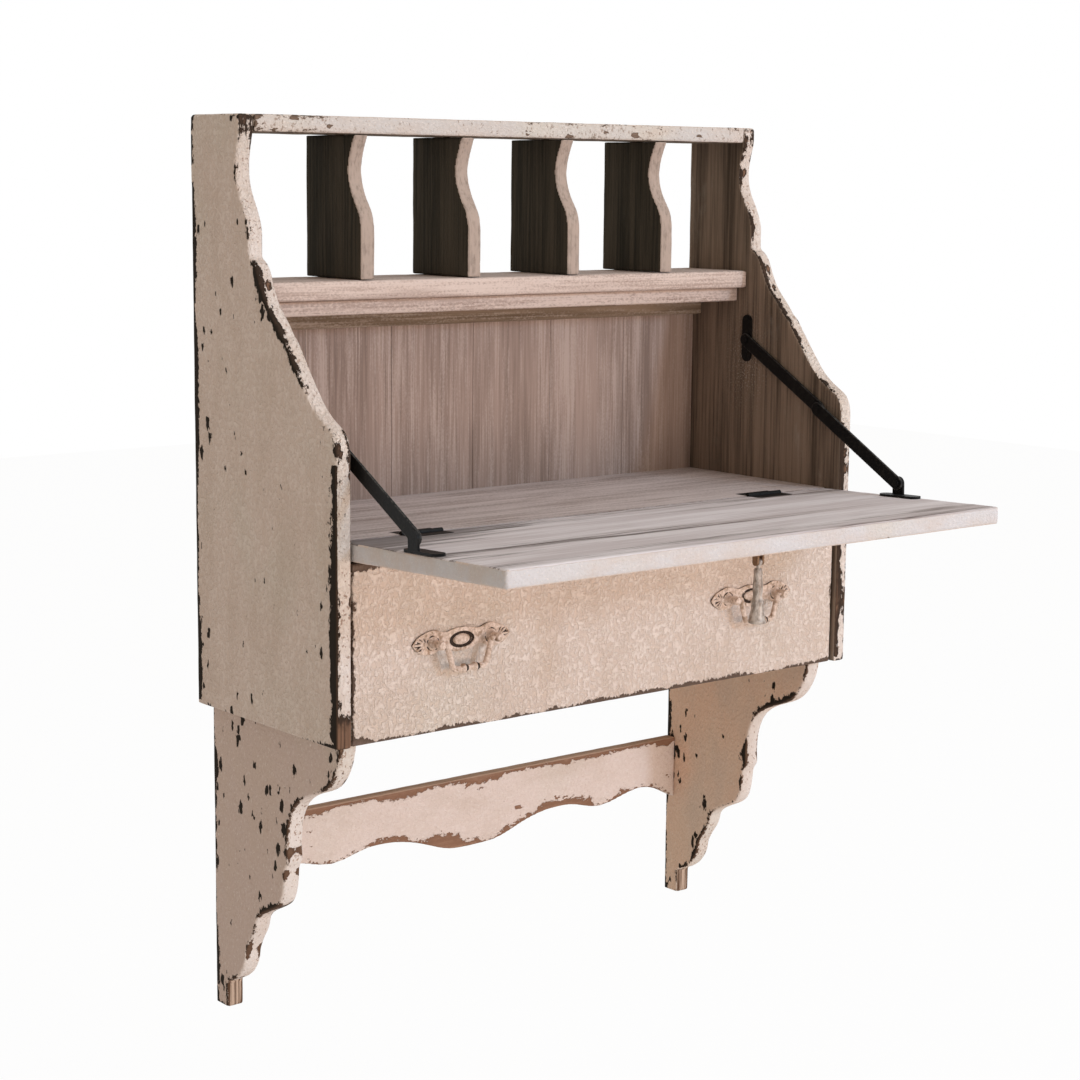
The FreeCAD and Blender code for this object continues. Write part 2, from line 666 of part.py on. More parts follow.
def raised(shape):
    """Piece of the flap turned up about the hinge line by the flap's tilt."""
    turned = shape.copy()
    turned.rotate(hinge_line, Vector(-1, 0, 0), flap_tilt)
    return turned


def on_flap(reach, lift):
    """Depth and height of a place on the raised flap, by its reach from the hinge and its lift."""
    turn = math.radians(flap_tilt)
    depth = hinge_depth + reach * math.cos(turn) - lift * math.sin(turn)
    height = floor_top_height + reach * math.sin(turn) + lift * math.cos(turn)
    return depth, height


flap_half = inner_half - flap_side_gap
flap_front = hinge_depth + flap_length
panel = board(-flap_half, flap_half, hinge_depth + flap_rear_gap, flap_front,
              flap_underside, floor_top_height)
nodes["flap_panel"] = rounded(panel, board_edge_round, lambda at: (
    at.y == -flap_front or abs(at.x) == flap_half) and at.y < -hinge_depth - 2 * flap_rear_gap)

# Butt hinges: a leaf let into the floor, a leaf let into the flap and a pin
floor_leaves = []
flap_leaves = []
hinge_pins = []
leaf_screws = [[], []]
hinge_offset = inner_half - hinge_inset
knuckle_pitch = leaf_length / knuckle_count
for side in hand.values():
    start_x = side * hinge_offset - leaf_length / 2
    barrel_start = Vector(start_x, -hinge_depth, floor_top_height)
    along = Vector(1, 0, 0)
    groove = cylinder(barrel_start, along, barrel_radius + knuckle_gap, leaf_length)
    bore = cylinder(barrel_start, along, hinge_pin_radius + running_fit, leaf_length)
    leaf_low = floor_top_height - leaf_thickness
    plates = []
    for back, front in ((hinge_depth - leaf_width, hinge_depth), (hinge_depth, hinge_depth + leaf_width)):
        plates.append(board(start_x, start_x + leaf_length, back, front, leaf_low, floor_top_height))
    drill(["writing_floor"], plates[0].fuse(groove))
    drill(["flap_panel"], plates[1].fuse(groove))
    for number in range(knuckle_count):
        knuckle_at = barrel_start + along * (number * knuckle_pitch)
        own = number % 2
        knuckle = cylinder(knuckle_at + along * (knuckle_gap / 2), along, barrel_radius,
                           knuckle_pitch - knuckle_gap)
        room = cylinder(knuckle_at, along, barrel_radius + knuckle_gap, knuckle_pitch)
        plates[own] = plates[own].fuse(knuckle)
        plates[1 - own] = plates[1 - own].cut(room)
    plates = [plate.cut(bore).removeSplitter() for plate in plates]
    hinge_pins.append(cylinder(barrel_start, along, hinge_pin_radius, leaf_length))
    for share in leaf_screw_shares:
        x_at = start_x + share * leaf_length
        for own, board_name in enumerate(("writing_floor", "flap_panel")):
            head_at = Vector(x_at, -(hinge_depth + (own - 1 / 2) * leaf_width), floor_top_height)
            hole = screw_hole(head_at, down, leaf_screw)
            plates[own] = plates[own].cut(hole)
            drill([board_name], hole)
            leaf_screws[own].append(screw(head_at, down, leaf_screw))
    floor_leaves.append(plates[0])
    flap_leaves.append(plates[1])
nodes["hinge_floor_leaves"] = Part.makeCompound(floor_leaves)
nodes["hinge_floor_screws"] = Part.makeCompound(leaf_screws[0])
nodes["hinge_pins"] = Part.makeCompound(hinge_pins)
nodes["hinge_flap_leaves"] = Part.makeCompound(flap_leaves)
nodes["hinge_flap_screws"] = Part.makeCompound(leaf_screws[1])

# Lid stays, in layers inwards from each gable: wall plate, upper link, foot lug and lower link
stay_pivot_height = shelf_underside - stay_pivot_drop
plate_layer = (-stay_plate_recess, stay_steel - stay_plate_recess)
upper_layer = (plate_layer[1] + stay_gap, plate_layer[1] + stay_gap + stay_steel)
lug_near = flap_side_gap + stay_foot_inset
lug_layer = (lug_near, lug_near + stay_steel)
lower_layer = (lug_layer[1] + stay_gap, lug_layer[1] + stay_gap + stay_steel)
lug_depth, lug_height = on_flap(stay_foot_reach, stay_foot_lift)
lug = Vector(0, -lug_depth, lug_height)
wall_pivot = Vector(0, -stay_pivot_depth, stay_pivot_height)
elbow = wall_pivot + (lug - wall_pivot).normalize() * stay_upper_length
sideways = Vector(1, 0, 0)


def cross_bar(side, pivot, near, far, radius):
    """Round bar along X at a pivot, between two distances inwards from a gable."""
    x_low, x_high = across(side, near, far)
    return cylinder(Vector(x_low, pivot.y, pivot.z), sideways, radius, x_high - x_low)


def pierced_link(side, layer, first, last):
    """Flat bar with round ends and a rivet hole at each, from one pivot to the next."""
    x_low, x_high = across(side, *layer)
    way = last - first
    bar = board(x_low, x_high, -way.Length, 0, -stay_link_width / 2, stay_link_width / 2)
    bar.rotate(Vector(0, 0, 0), sideways, math.degrees(math.atan2(way.z, way.y)))
    bar.translate(first)
    for pivot in (first, last):
        bar = bar.fuse(cross_bar(side, pivot, *layer, stay_link_width / 2))
    bar = bar.removeSplitter()
    for pivot in (first, last):
        bar = bar.cut(cross_bar(side, pivot, *layer, rivet_radius + running_fit))
    return bar


wall_plates = []
wall_rivets = []
wall_screws = []
feet = []
foot_rivets = []
foot_screws = []
plate_middle = stay_pivot_height + stay_plate_rise
plate_foot = plate_middle - stay_plate_length / 2
foot_back = stay_foot_reach - stay_foot_rear
foot_centre = hinge_depth + foot_back + stay_plate_length / 2
foot_straight = (stay_plate_length - stay_plate_width) / 2
foot_top = floor_top_height + stay_steel
for name, side in hand.items():
    outwards = Vector(side, 0, 0)
    x_low, x_high = across(side, *plate_layer)
    plate = slot_plate(x_low, x_high, stay_pivot_depth, plate_middle,
                       stay_plate_width / 2, stay_plate_length / 2)
    drill([name + "_gable"], plate)
    plate = plate.cut(cross_bar(side, wall_pivot, *plate_layer, rivet_radius + running_fit))
    for share in stay_screw_shares:
        head_at = Vector(side * (inner_half - plate_layer[1]), -stay_pivot_depth,
                         plate_foot + share * stay_plate_length)
        hole = screw_hole(head_at, outwards, wood_screw)
        plate = plate.cut(hole)
        drill([name + "_gable"], hole)
        wall_screws.append(screw(head_at, outwards, wood_screw))
    wall_plates.append(plate)
    head_near = upper_layer[1] + stay_gap
    shank = cross_bar(side, wall_pivot, plate_layer[0] + stay_gap, head_near, rivet_radius)
    head = cross_bar(side, wall_pivot, head_near, head_near + rivet_head_height, rivet_head_radius)
    wall_rivets.append(shank.fuse(head).removeSplitter())
    nodes[name + "_upper_link"] = pierced_link(side, upper_layer, wall_pivot, elbow)
    nodes[name + "_lower_link"] = pierced_link(side, lower_layer, elbow, lug)

    # The elbow's rivet is in two halves, one riding on each link, with a small gap between them
    tail_end = lower_layer[0] - stay_gap
    tail = cross_bar(side, elbow, upper_layer[0], upper_layer[1], rivet_radius)
    flange_start = upper_layer[0] - rivet_tail_height
    tail_flange = cross_bar(side, elbow, flange_start, upper_layer[0], rivet_head_radius)
    tail_washer = cross_bar(side, elbow, upper_layer[1], tail_end, rivet_head_radius)
    nodes[name + "_elbow_rivet_tail"] = tail.fuse([tail_flange, tail_washer]).removeSplitter()
    head = cross_bar(side, elbow, *lower_layer, rivet_radius)
    flange_end = lower_layer[1] + rivet_head_height
    head_flange = cross_bar(side, elbow, lower_layer[1], flange_end, rivet_head_radius)
    nodes[name + "_elbow_rivet_head"] = head.fuse(head_flange).removeSplitter()

    x_low, x_high = across(side, lug_near, lug_near + stay_plate_width)
    foot_middle = (x_low + x_high) / 2
    foot = board(x_low, x_high, foot_centre - foot_straight, foot_centre + foot_straight,
                 floor_top_height, foot_top)
    for way in (-1, 1):
        end_at = Vector(foot_middle, -(foot_centre + way * foot_straight), floor_top_height)
        foot = foot.fuse(cylinder(end_at, Vector(0, 0, 1), stay_plate_width / 2, stay_steel))
    level_lug = Vector(0, -(hinge_depth + stay_foot_reach), floor_top_height + stay_foot_lift)
    x_low, x_high = across(side, *lug_layer)
    ear = board(x_low, x_high, -level_lug.y - stay_lug_width / 2, -level_lug.y + stay_lug_width / 2,
                floor_top_height, level_lug.z)
    foot = foot.fuse([ear, cross_bar(side, level_lug, *lug_layer, stay_lug_width / 2)]).removeSplitter()
    foot = foot.cut(cross_bar(side, level_lug, *lug_layer, rivet_radius + running_fit))
    for share in stay_screw_shares:
        head_at = Vector(foot_middle, -(hinge_depth + foot_back + share * stay_plate_length), foot_top)
        hole = screw_hole(head_at, down, leaf_screw)
        foot = foot.cut(hole)
        drill(["flap_panel"], hole)
        foot_screws.append(screw(head_at, down, leaf_screw))
    feet.append(foot)
    head_near = lower_layer[1] + stay_gap
    shank = cross_bar(side, level_lug, lug_layer[0], head_near, rivet_radius)
    head = cross_bar(side, level_lug, head_near, head_near + rivet_head_height, rivet_head_radius)
    foot_rivets.append(shank.fuse(head).removeSplitter())
nodes["stay_wall_plates"] = Part.makeCompound(wall_plates)
nodes["stay_wall_rivets"] = Part.makeCompound(wall_rivets)
nodes["stay_wall_screws"] = Part.makeCompound(wall_screws)
nodes["stay_feet"] = Part.makeCompound(feet)
nodes["stay_foot_rivets"] = Part.makeCompound(foot_rivets)
nodes["stay_foot_screws"] = Part.makeCompound(foot_screws)

# Drop pull: a rosette with two ears and a pin under the flap, and a turned drop that hangs from the pin
mount_at = Vector(0, -(flap_front - drop_setback), flap_underside)
mount = cylinder(mount_at, down, drop_mount_radius, drop_mount_thickness)
ear_inner = drop_eye_thickness / 2 + drop_eye_gap
ear_outer = ear_inner + drop_ear_thickness
pin_level = mount_at + down * drop_pin_fall
for way in (-1, 1):
    x_low = min(way * ear_inner, way * ear_outer)
    depth = -mount_at.y
    ear = board(x_low, x_low + drop_ear_thickness, depth - drop_ear_width / 2, depth + drop_ear_width / 2,
                pin_level.z, mount_at.z)
    tip_at = Vector(x_low, pin_level.y, pin_level.z)
    ear = ear.fuse(cylinder(tip_at, Vector(1, 0, 0), drop_ear_width / 2, drop_ear_thickness))
    mount = mount.fuse(ear)
pin_start = pin_level - Vector(ear_outer, 0, 0)
pin_way = cylinder(pin_start, Vector(1, 0, 0), drop_pin_radius + running_fit, 2 * ear_outer)
nodes["drop_pull_mount"] = mount.removeSplitter().cut(pin_way)
nodes["drop_pull_pin"] = cylinder(pin_start, Vector(1, 0, 0), drop_pin_radius, 2 * ear_outer)
pin_depth, pin_height = on_flap(flap_length - drop_setback, -flap_thickness - drop_pin_fall)
pin_at = Vector(0, -pin_depth, pin_height)
turned_points = [Vector(radius_share * drop_radius, 0, -drop_neck_length - length_share * drop_length)
                 for radius_share, length_share in drop_turn_shares]
drop_top = Vector(0, 0, turned_points[0].z)
drop_foot = Vector(0, 0, turned_points[-1].z)
half_section = Part.Wire([run([drop_top, turned_points[0]]), run(turned_points),
                          run([turned_points[-1], drop_foot]), run([drop_foot, drop_top])])
drop = Part.Face(half_section).revolve(Vector(0, 0, 0), Vector(0, 0, 1))
eye_start = Vector(-drop_eye_thickness / 2, 0, 0)
eye = cylinder(eye_start, Vector(1, 0, 0), drop_ear_width / 2, drop_eye_thickness)
neck = cylinder(Vector(0, 0, 0), down, drop_eye_thickness / 2, drop_neck_length)
drop = Part.makeSolid(drop) if drop.ShapeType == "Shell" else drop
drop = drop.fuse(eye).fuse(neck).removeSplitter()
drop = drop.cut(cylinder(eye_start, Vector(1, 0, 0), drop_pin_radius + running_fit, drop_eye_thickness))
drop.translate(pin_at)
nodes["drop_pull"] = drop

for name, cutters in holes.items():
    nodes[name] = nodes[name].cut(cutters)

for name in ("flap_panel", "hinge_flap_leaves", "hinge_flap_screws", "stay_feet", "stay_foot_rivets",
             "stay_foot_screws", "drop_pull_mount", "drop_pull_pin"):
    nodes[name] = raised(nodes[name])

for name, shape in nodes.items():
    shape.translate(Vector(0, 0, -hanger_height))
    shape.exportStep("parts/%s.step" % name)
    print(name, len(shape.Solids), "valid" if shape.isValid() else "NOT VALID", round(shape.Volume))
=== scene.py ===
import math
import bpy
import numpy
from mathutils import Euler, Matrix, Vector, kdtree


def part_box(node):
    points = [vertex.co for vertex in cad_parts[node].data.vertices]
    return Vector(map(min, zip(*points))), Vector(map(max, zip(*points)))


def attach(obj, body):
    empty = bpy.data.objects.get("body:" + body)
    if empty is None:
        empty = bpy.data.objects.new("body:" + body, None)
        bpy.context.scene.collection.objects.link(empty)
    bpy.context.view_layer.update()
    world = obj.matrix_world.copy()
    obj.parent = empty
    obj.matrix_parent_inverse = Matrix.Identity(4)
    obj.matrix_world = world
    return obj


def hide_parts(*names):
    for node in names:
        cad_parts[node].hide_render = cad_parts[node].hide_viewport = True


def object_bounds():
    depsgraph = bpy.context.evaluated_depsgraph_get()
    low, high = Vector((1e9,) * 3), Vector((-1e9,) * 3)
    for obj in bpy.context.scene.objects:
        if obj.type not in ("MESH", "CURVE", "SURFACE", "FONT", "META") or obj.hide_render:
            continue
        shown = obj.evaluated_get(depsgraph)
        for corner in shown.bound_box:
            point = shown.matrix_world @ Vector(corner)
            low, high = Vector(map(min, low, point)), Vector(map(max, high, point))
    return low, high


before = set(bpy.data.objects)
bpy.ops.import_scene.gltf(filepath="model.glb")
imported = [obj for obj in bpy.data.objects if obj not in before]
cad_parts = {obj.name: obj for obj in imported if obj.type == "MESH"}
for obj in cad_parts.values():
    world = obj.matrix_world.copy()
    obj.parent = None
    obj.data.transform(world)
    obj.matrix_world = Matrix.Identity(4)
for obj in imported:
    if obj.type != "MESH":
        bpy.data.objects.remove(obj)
cad_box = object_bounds()

# Gables
# The two side boards are sawn from solid wood to a scrolled front, and every edge is rounded over by hand.
# Outside they carry thick cream paint that has flaked along the edges, and inside they are stained dark.
gable_low, gable_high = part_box("left_gable")
gable_bottom = gable_low.z
gable_middle = (gable_low.x + gable_high.x) / 2
straight_front_top = 0.275
shoulder_bottom, shoulder_top = 0.19, 0.33
bare_foot_top = 0.036
bare_corner_bottom = 0.578
frayed_top = 0.14
spotted_foot_top = 0.11
worn_corner_depth = 0.19
edge_band = 0.006
millimetre = 0.001
thin_relief = 0.0007
gable_relief = 0.0017
paint_cream = (0.765, 0.632, 0.548, 1)
paint_white = (0.79, 0.725, 0.675, 1)
# Soiled paint also serves as painted shade in the brush pebbles' hollows, and pale crumb paint serves as
# painted highlight on their tops.
paint_soiled_and_shaded = (0.62, 0.495, 0.405, 1)
paint_crumb_and_highlight = (0.86, 0.78, 0.715, 1)
paint_green = (0.64, 0.585, 0.485, 1)
chip_dark = (0.022, 0.016, 0.011, 1)
stain_dark = (0.085, 0.062, 0.044, 1)
stain_light = (0.31, 0.232, 0.175, 1)


def dense_copy(name, voxel, easing, wobble):
    """An evenly meshed copy of a CAD node, a little uneven, so that its paint can wear by the edges."""
    bpy.ops.object.select_all(action="DESELECT")
    piece = bpy.data.objects.new("worn_" + name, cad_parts[name].data.copy())
    bpy.context.collection.objects.link(piece)
    piece.data.materials.clear()
    piece.select_set(True)
    bpy.context.view_layer.objects.active = piece
    bpy.ops.object.mode_set(mode="EDIT")
    bpy.ops.mesh.select_all(action="SELECT")
    bpy.ops.mesh.remove_doubles(threshold=0.00001)
    bpy.ops.object.mode_set(mode="OBJECT")
    even = piece.modifiers.new("even", "REMESH")
    even.mode = "VOXEL"
    even.voxel_size = voxel
    bpy.ops.object.modifier_apply(modifier="even")
    eased = piece.modifiers.new("eased", "SMOOTH")
    eased.factor = 0.5
    eased.iterations = easing
    bpy.ops.object.modifier_apply(modifier="eased")
    if wobble:
        hand_cut = bpy.data.textures.new("hand_cut", "CLOUDS")
        hand_cut.noise_scale = 0.03
        uneven = piece.modifiers.new("uneven", "DISPLACE")
        uneven.texture = hand_cut
        uneven.strength = wobble
        uneven.mid_level = 1.0
        bpy.ops.object.modifier_apply(modifier="uneven")
    bpy.ops.object.shade_smooth()
    return piece


def round_over(piece, rounds):
    """Rubs the edges of a piece rounder, and gives back its new normals."""
    worn = piece.modifiers.new("worn", "SMOOTH")
    worn.factor = 0.5
    worn.iterations = rounds
    bpy.context.view_layer.objects.active = piece
    bpy.ops.object.modifier_apply(modifier="worn")
    return points_of(piece.data, "normal")


def points_of(mesh, field):
    """Coordinates or normals of a mesh's points, as rows of three."""
    values = numpy.empty(len(mesh.vertices) * 3)
    mesh.vertices.foreach_get(field, values)
    return values.reshape(-1, 3)


def store(piece, name, values):
    """One number for each point of a piece, for its material to read."""
    piece.data.attributes.new(name, "FLOAT", "POINT").data.foreach_set("value", numpy.asarray(values, "f"))


def stand_out(piece):
    """How far each point stands out from a smoothed copy of the piece, less than 0 in its hollows."""
    softened = piece.modifiers.new("softened", "SMOOTH")
    softened.factor = 0.5
    softened.iterations = 12
    soft = piece.evaluated_get(bpy.context.evaluated_depsgraph_get())
    step = points_of(piece.data, "co") - points_of(soft.data, "co")
    piece.modifiers.remove(softened)
    return (step * points_of(piece.data, "normal")).sum(axis=1)


def nearest_edges(piece):
    """For each point its place and normal, the nearest place on a sharp edge and the distance to it."""
    sharp = 0.0003
    places = points_of(piece.data, "co")
    edges = places[stand_out(piece) > sharp]
    tree = kdtree.KDTree(len(edges))
    for number, place in enumerate(edges):
        tree.insert(place, number)
    tree.balance()
    found = [tree.find(place) for place in places]
    nearest = numpy.array([hit[0] for hit in found])
    return places, points_of(piece.data, "normal"), nearest, numpy.array([hit[2] for hit in found])


class Shade:
    """A value in a material's tree. Sums and products of these add the nodes that work them out."""

    def __init__(self, tree, socket):
        self.tree = tree
        self.socket = socket

    def add(self, kind, settings, inputs, output=0):
        """Adds one node of any kind, sets it up, feeds its sockets and gives back one of its outputs."""
        node = self.tree.nodes.new(kind)
        for key, value in settings.items():
            setattr(node, key, value)
        for key, value in inputs.items():
            if isinstance(value, Shade):
                self.tree.links.new(value.socket, node.inputs[key])
            else:
                node.inputs[key].default_value = value
        return Shade(self.tree, node.outputs[output])

    def also(self, output):
        """Another output of the node that gave this value."""
        return Shade(self.tree, self.socket.node.outputs[output])

    def reckon(self, operation, first, second):
        return self.add("ShaderNodeMath", {"operation": operation}, {0: first, 1: second})

    def __add__(self, other):
        return self.reckon("ADD", self, other)

    def __sub__(self, other):
        return self.reckon("SUBTRACT", self, other)

    def __rsub__(self, other):
        return self.reckon("SUBTRACT", other, self)

    def __mul__(self, other):
        return self.reckon("MULTIPLY", self, other)

    __radd__ = __add__
    __rmul__ = __mul__


def begin(name):
    """A new material, its surface shader and the place of each point in the desk's own frame."""
    material = bpy.data.materials.new(name)
    material.use_nodes = True
    tree = material.node_tree
    tree.nodes["Principled BSDF"].inputs["Specular IOR Level"].default_value = 0.15
    place = Shade(tree, tree.nodes.new("ShaderNodeTexCoord").outputs["Object"])
    return material, tree.nodes["Principled BSDF"], place


def end(surface, colour, rough, height, relief):
    """Feeds the surface shader with a colour, a roughness and a relief in metres."""
    tree = colour.tree
    bump = colour.add("ShaderNodeBump", {}, {"Distance": relief, "Height": height})
    tree.links.new(colour.socket, surface.inputs["Base Color"])
    tree.links.new(bump.socket, surface.inputs["Normal"])
    if isinstance(rough, Shade):
        tree.links.new(rough.socket, surface.inputs["Roughness"])
    else:
        surface.inputs["Roughness"].default_value = rough


def noise(place, counts, detail=4.0, rough=0.55):
    """Cloudy pattern with so many cells to the metre along X, Y and Z."""
    spread = place.add("ShaderNodeVectorMath", {"operation": "MULTIPLY"}, {0: place, 1: counts})
    return place.add("ShaderNodeTexNoise", {},
                     {"Vector": spread, "Scale": 1.0, "Detail": detail, "Roughness": rough})


def drawn_out(count, along, long_count):
    """Cells to the metre along X, Y and Z, for a pattern that is drawn out along one axis."""
    counts = [count, count, count]
    counts[along] = long_count
    return counts


def rise(value, low, high):
    """Smooth step from 0 at low to 1 at high."""
    return value.add("ShaderNodeMapRange", {"interpolation_type": "SMOOTHSTEP"},
                     {"Value": value, "From Min": low, "From Max": high})


def blend(share, first, second):
    """Colour that goes from the first to the second as the share goes from 0 to 1."""
    return share.add("ShaderNodeMix", {"data_type": "RGBA"}, {0: share, 6: first, 7: second}, 2)


def stored(place, name):
    """Number that a piece's points hold under this name."""
    return place.add("ShaderNodeAttribute", {"attribute_name": name}, {}, "Fac")


def grain_colour(place, along, dark, pale):
    """Wood colour with fine lines and broad bands that run along one axis."""
    lines = noise(place, drawn_out(300.0, along, 7.0), 3.0, 0.6)
    bands = noise(place, drawn_out(36.0, along, 1.6), 5.0, 0.6)
    return blend(rise(lines * 0.45 + bands * 0.55, 0.36, 0.64), dark, pale)


def wear_by(piece, gaps, steady, reach, stray):
    """Keeps how many millimetres in from its edges a piece's paint is gone, and how it flakes and spots."""
    store(piece, "edge", steady - gaps / millimetre)
    store(piece, "reach", reach + 0 * gaps)
    store(piece, "stray", stray + 0 * gaps)


def humps(spots, bumps):
    """Sum of smooth bumps along a line, each given by its middle, its spread and its amount."""
    return sum(amount * numpy.exp(-((spots - middle) / spread) ** 2) for middle, spread, amount in bumps)


def chipped_paint(name, along, coats, woods, inner_colour, relief):
    """Thick brushed paint, flaked off to the wood by the edges and in spots, with another finish inside. Its
    brush pebbles carry painted shade and highlight, and its chips carry painted shade at their rims.
    """
    material, surface, place = begin(name)
    largest_spot = 0.40
    # Strength of the painted shade and highlight on the brush pebbles; it grows with the relief.
    pebble_light_and_shade = relief * 170
    front = stored(place, "front")
    cluster = rise(noise(place, (15.0, 15.0, 10.0), 3.0), 0.42, 0.60)
    flake = noise(place, drawn_out(210.0, along, 105.0), 5.0, 0.74)
    gone = stored(place, "edge") + stored(place, "reach") * (cluster + (flake - 0.5) * 3.6)
    cells = place.add("ShaderNodeVectorMath", {"operation": "MULTIPLY"},
                      {0: place, 1: drawn_out(110.0, along, 52.0)})
    ragged = place.add("ShaderNodeTexNoise", {}, {"Vector": cells, "Scale": 2.4, "Detail": 3.0}, "Color")
    cells = place.add("ShaderNodeVectorMath", {"operation": "MULTIPLY_ADD"},
                      {0: ragged, 1: (0.9, 0.9, 0.9), 2: cells})
    from_spot = place.add("ShaderNodeTexVoronoi", {}, {"Vector": cells, "Scale": 1.0}, "Distance")
    lot = place.add("ShaderNodeSeparateColor", {}, {0: from_spot.also("Color")}, "Red")
    spot = lot - 1 + stored(place, "stray") * (0.25 + cluster * 1.1)
    spot = spot.reckon("MINIMUM", spot, largest_spot) - from_spot
    chip = gone.reckon("MAXIMUM", rise(gone, 0.0, 0.3), rise(spot, 0.0, 0.05))
    # Chips are painted darkest at their rims and where they are small, as the shade inside them. The grain's
    # paler brown shows only deep in large bare patches.
    chip_shade_depth = gone.reckon("MAXIMUM", rise(gone, 0.4, 14.0), rise(spot, 0.04, 0.30))
    tone = noise(place, drawn_out(26.0, along, 10.0), 5.0, 0.62)
    cast = noise(place, (7.0, 7.0, 4.0), 2.0)
    crumb = noise(place, drawn_out(560.0, along, 330.0), 2.0)
    blister = noise(place, (330.0, 330.0, 250.0), 3.0)
    pebble = rise(noise(place, drawn_out(310.0, along, 240.0), 2.0), 0.36, 0.64)
    paint = blend(rise(cast, 0.50, 0.70) * 0.5, blend(front, *coats), paint_green)
    # Painted shade in the hollows of the brush pebbles and painted highlight on their tops.
    paint = blend((1 - pebble) * pebble_light_and_shade, paint, paint_soiled_and_shaded)
    paint = blend(pebble * pebble_light_and_shade, paint, paint_crumb_and_highlight)
    paint = blend(rise(tone, 0.60, 0.34) * 0.42, paint, paint_soiled_and_shaded)
    paint = blend(rise(crumb, 0.60, 0.70) * 0.55, paint, paint_crumb_and_highlight)
    paint = blend(rise(crumb, 0.40, 0.28) * 0.4, paint, paint_soiled_and_shaded)
    paint = blend(rise(gone, -1.6, 0.0) * 0.35, paint, paint_soiled_and_shaded)
    paint = blend(rise(blister + cluster * 0.06, 0.63, 0.68) * stored(place, "blister"), paint, woods[1])
    wood = blend(front, chip_dark, blend(chip_shade_depth, woods[0], grain_colour(place, along, *woods)))
    coat = blend(chip, paint, wood)
    inside = rise(stored(place, "inner") + (flake - 0.5) * 0.6, 0.42, 0.58)
    colour = blend(inside, coat, inner_colour(place))
    painted = (1 - chip) * (1 - inside)
    height = painted * (0.5 + pebble * 0.5) + (1 - painted) * crumb * 0.25
    end(surface, colour, 0.88 - painted * 0.26, height, relief)
    return material


def stained_inside(place):
    """Dark stained wood with upright grain, smeared with thin white and specked with dust."""
    smear = rise(noise(place, (30.0, 30.0, 12.0), 5.0, 0.7), 0.55, 0.8) * 0.3
    speck = rise(noise(place, (620.0, 620.0, 500.0), 2.0), 0.56, 0.66) * stored(place, "dust")
    wood = grain_colour(place, 2, stain_dark, stain_light)
    return blend(smear.reckon("MAXIMUM", smear, speck), wood, (0.52, 0.47, 0.42, 1))


def dress(piece, material, body, name):
    """Gives a piece its material, and puts it in the place of the CAD node that it stands for."""
    piece.data.materials.append(material)
    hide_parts(name)
    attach(piece, body)


gable_woods = ((0.042, 0.027, 0.019, 1), (0.29, 0.165, 0.105, 1))
gable_paint = chipped_paint("gable_paint", 2, (paint_cream, paint_white), gable_woods, stained_inside,
                            gable_relief)
plate_low, plate_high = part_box("stay_wall_plates")
dust_place = numpy.array([(plate_low.y + plate_high.y) / 2, plate_low.z])
dust_spread = (0.03, 0.05)
no_wear, hardly_worn = -100.0, -20.0
sound_edge = -5.0
scroll_edge = -3.6
front_share = 0.55
left_strip_on_front, left_strip_outside = -3.0, 7.0
right_strip_on_front, right_strip_inside = 4.4, 1.2
back_strip = 4.2
frayed_edge = -0.5
worn_corner, sound_bottom = -0.5, -4.0
worn_bumps = ((0.543, 0.014, 4.6), (0.488, 0.011, 5.2), (0.441, 0.018, 6.5), (0.397, 0.014, 5.0),
              (0.366, 0.012, 4.0))
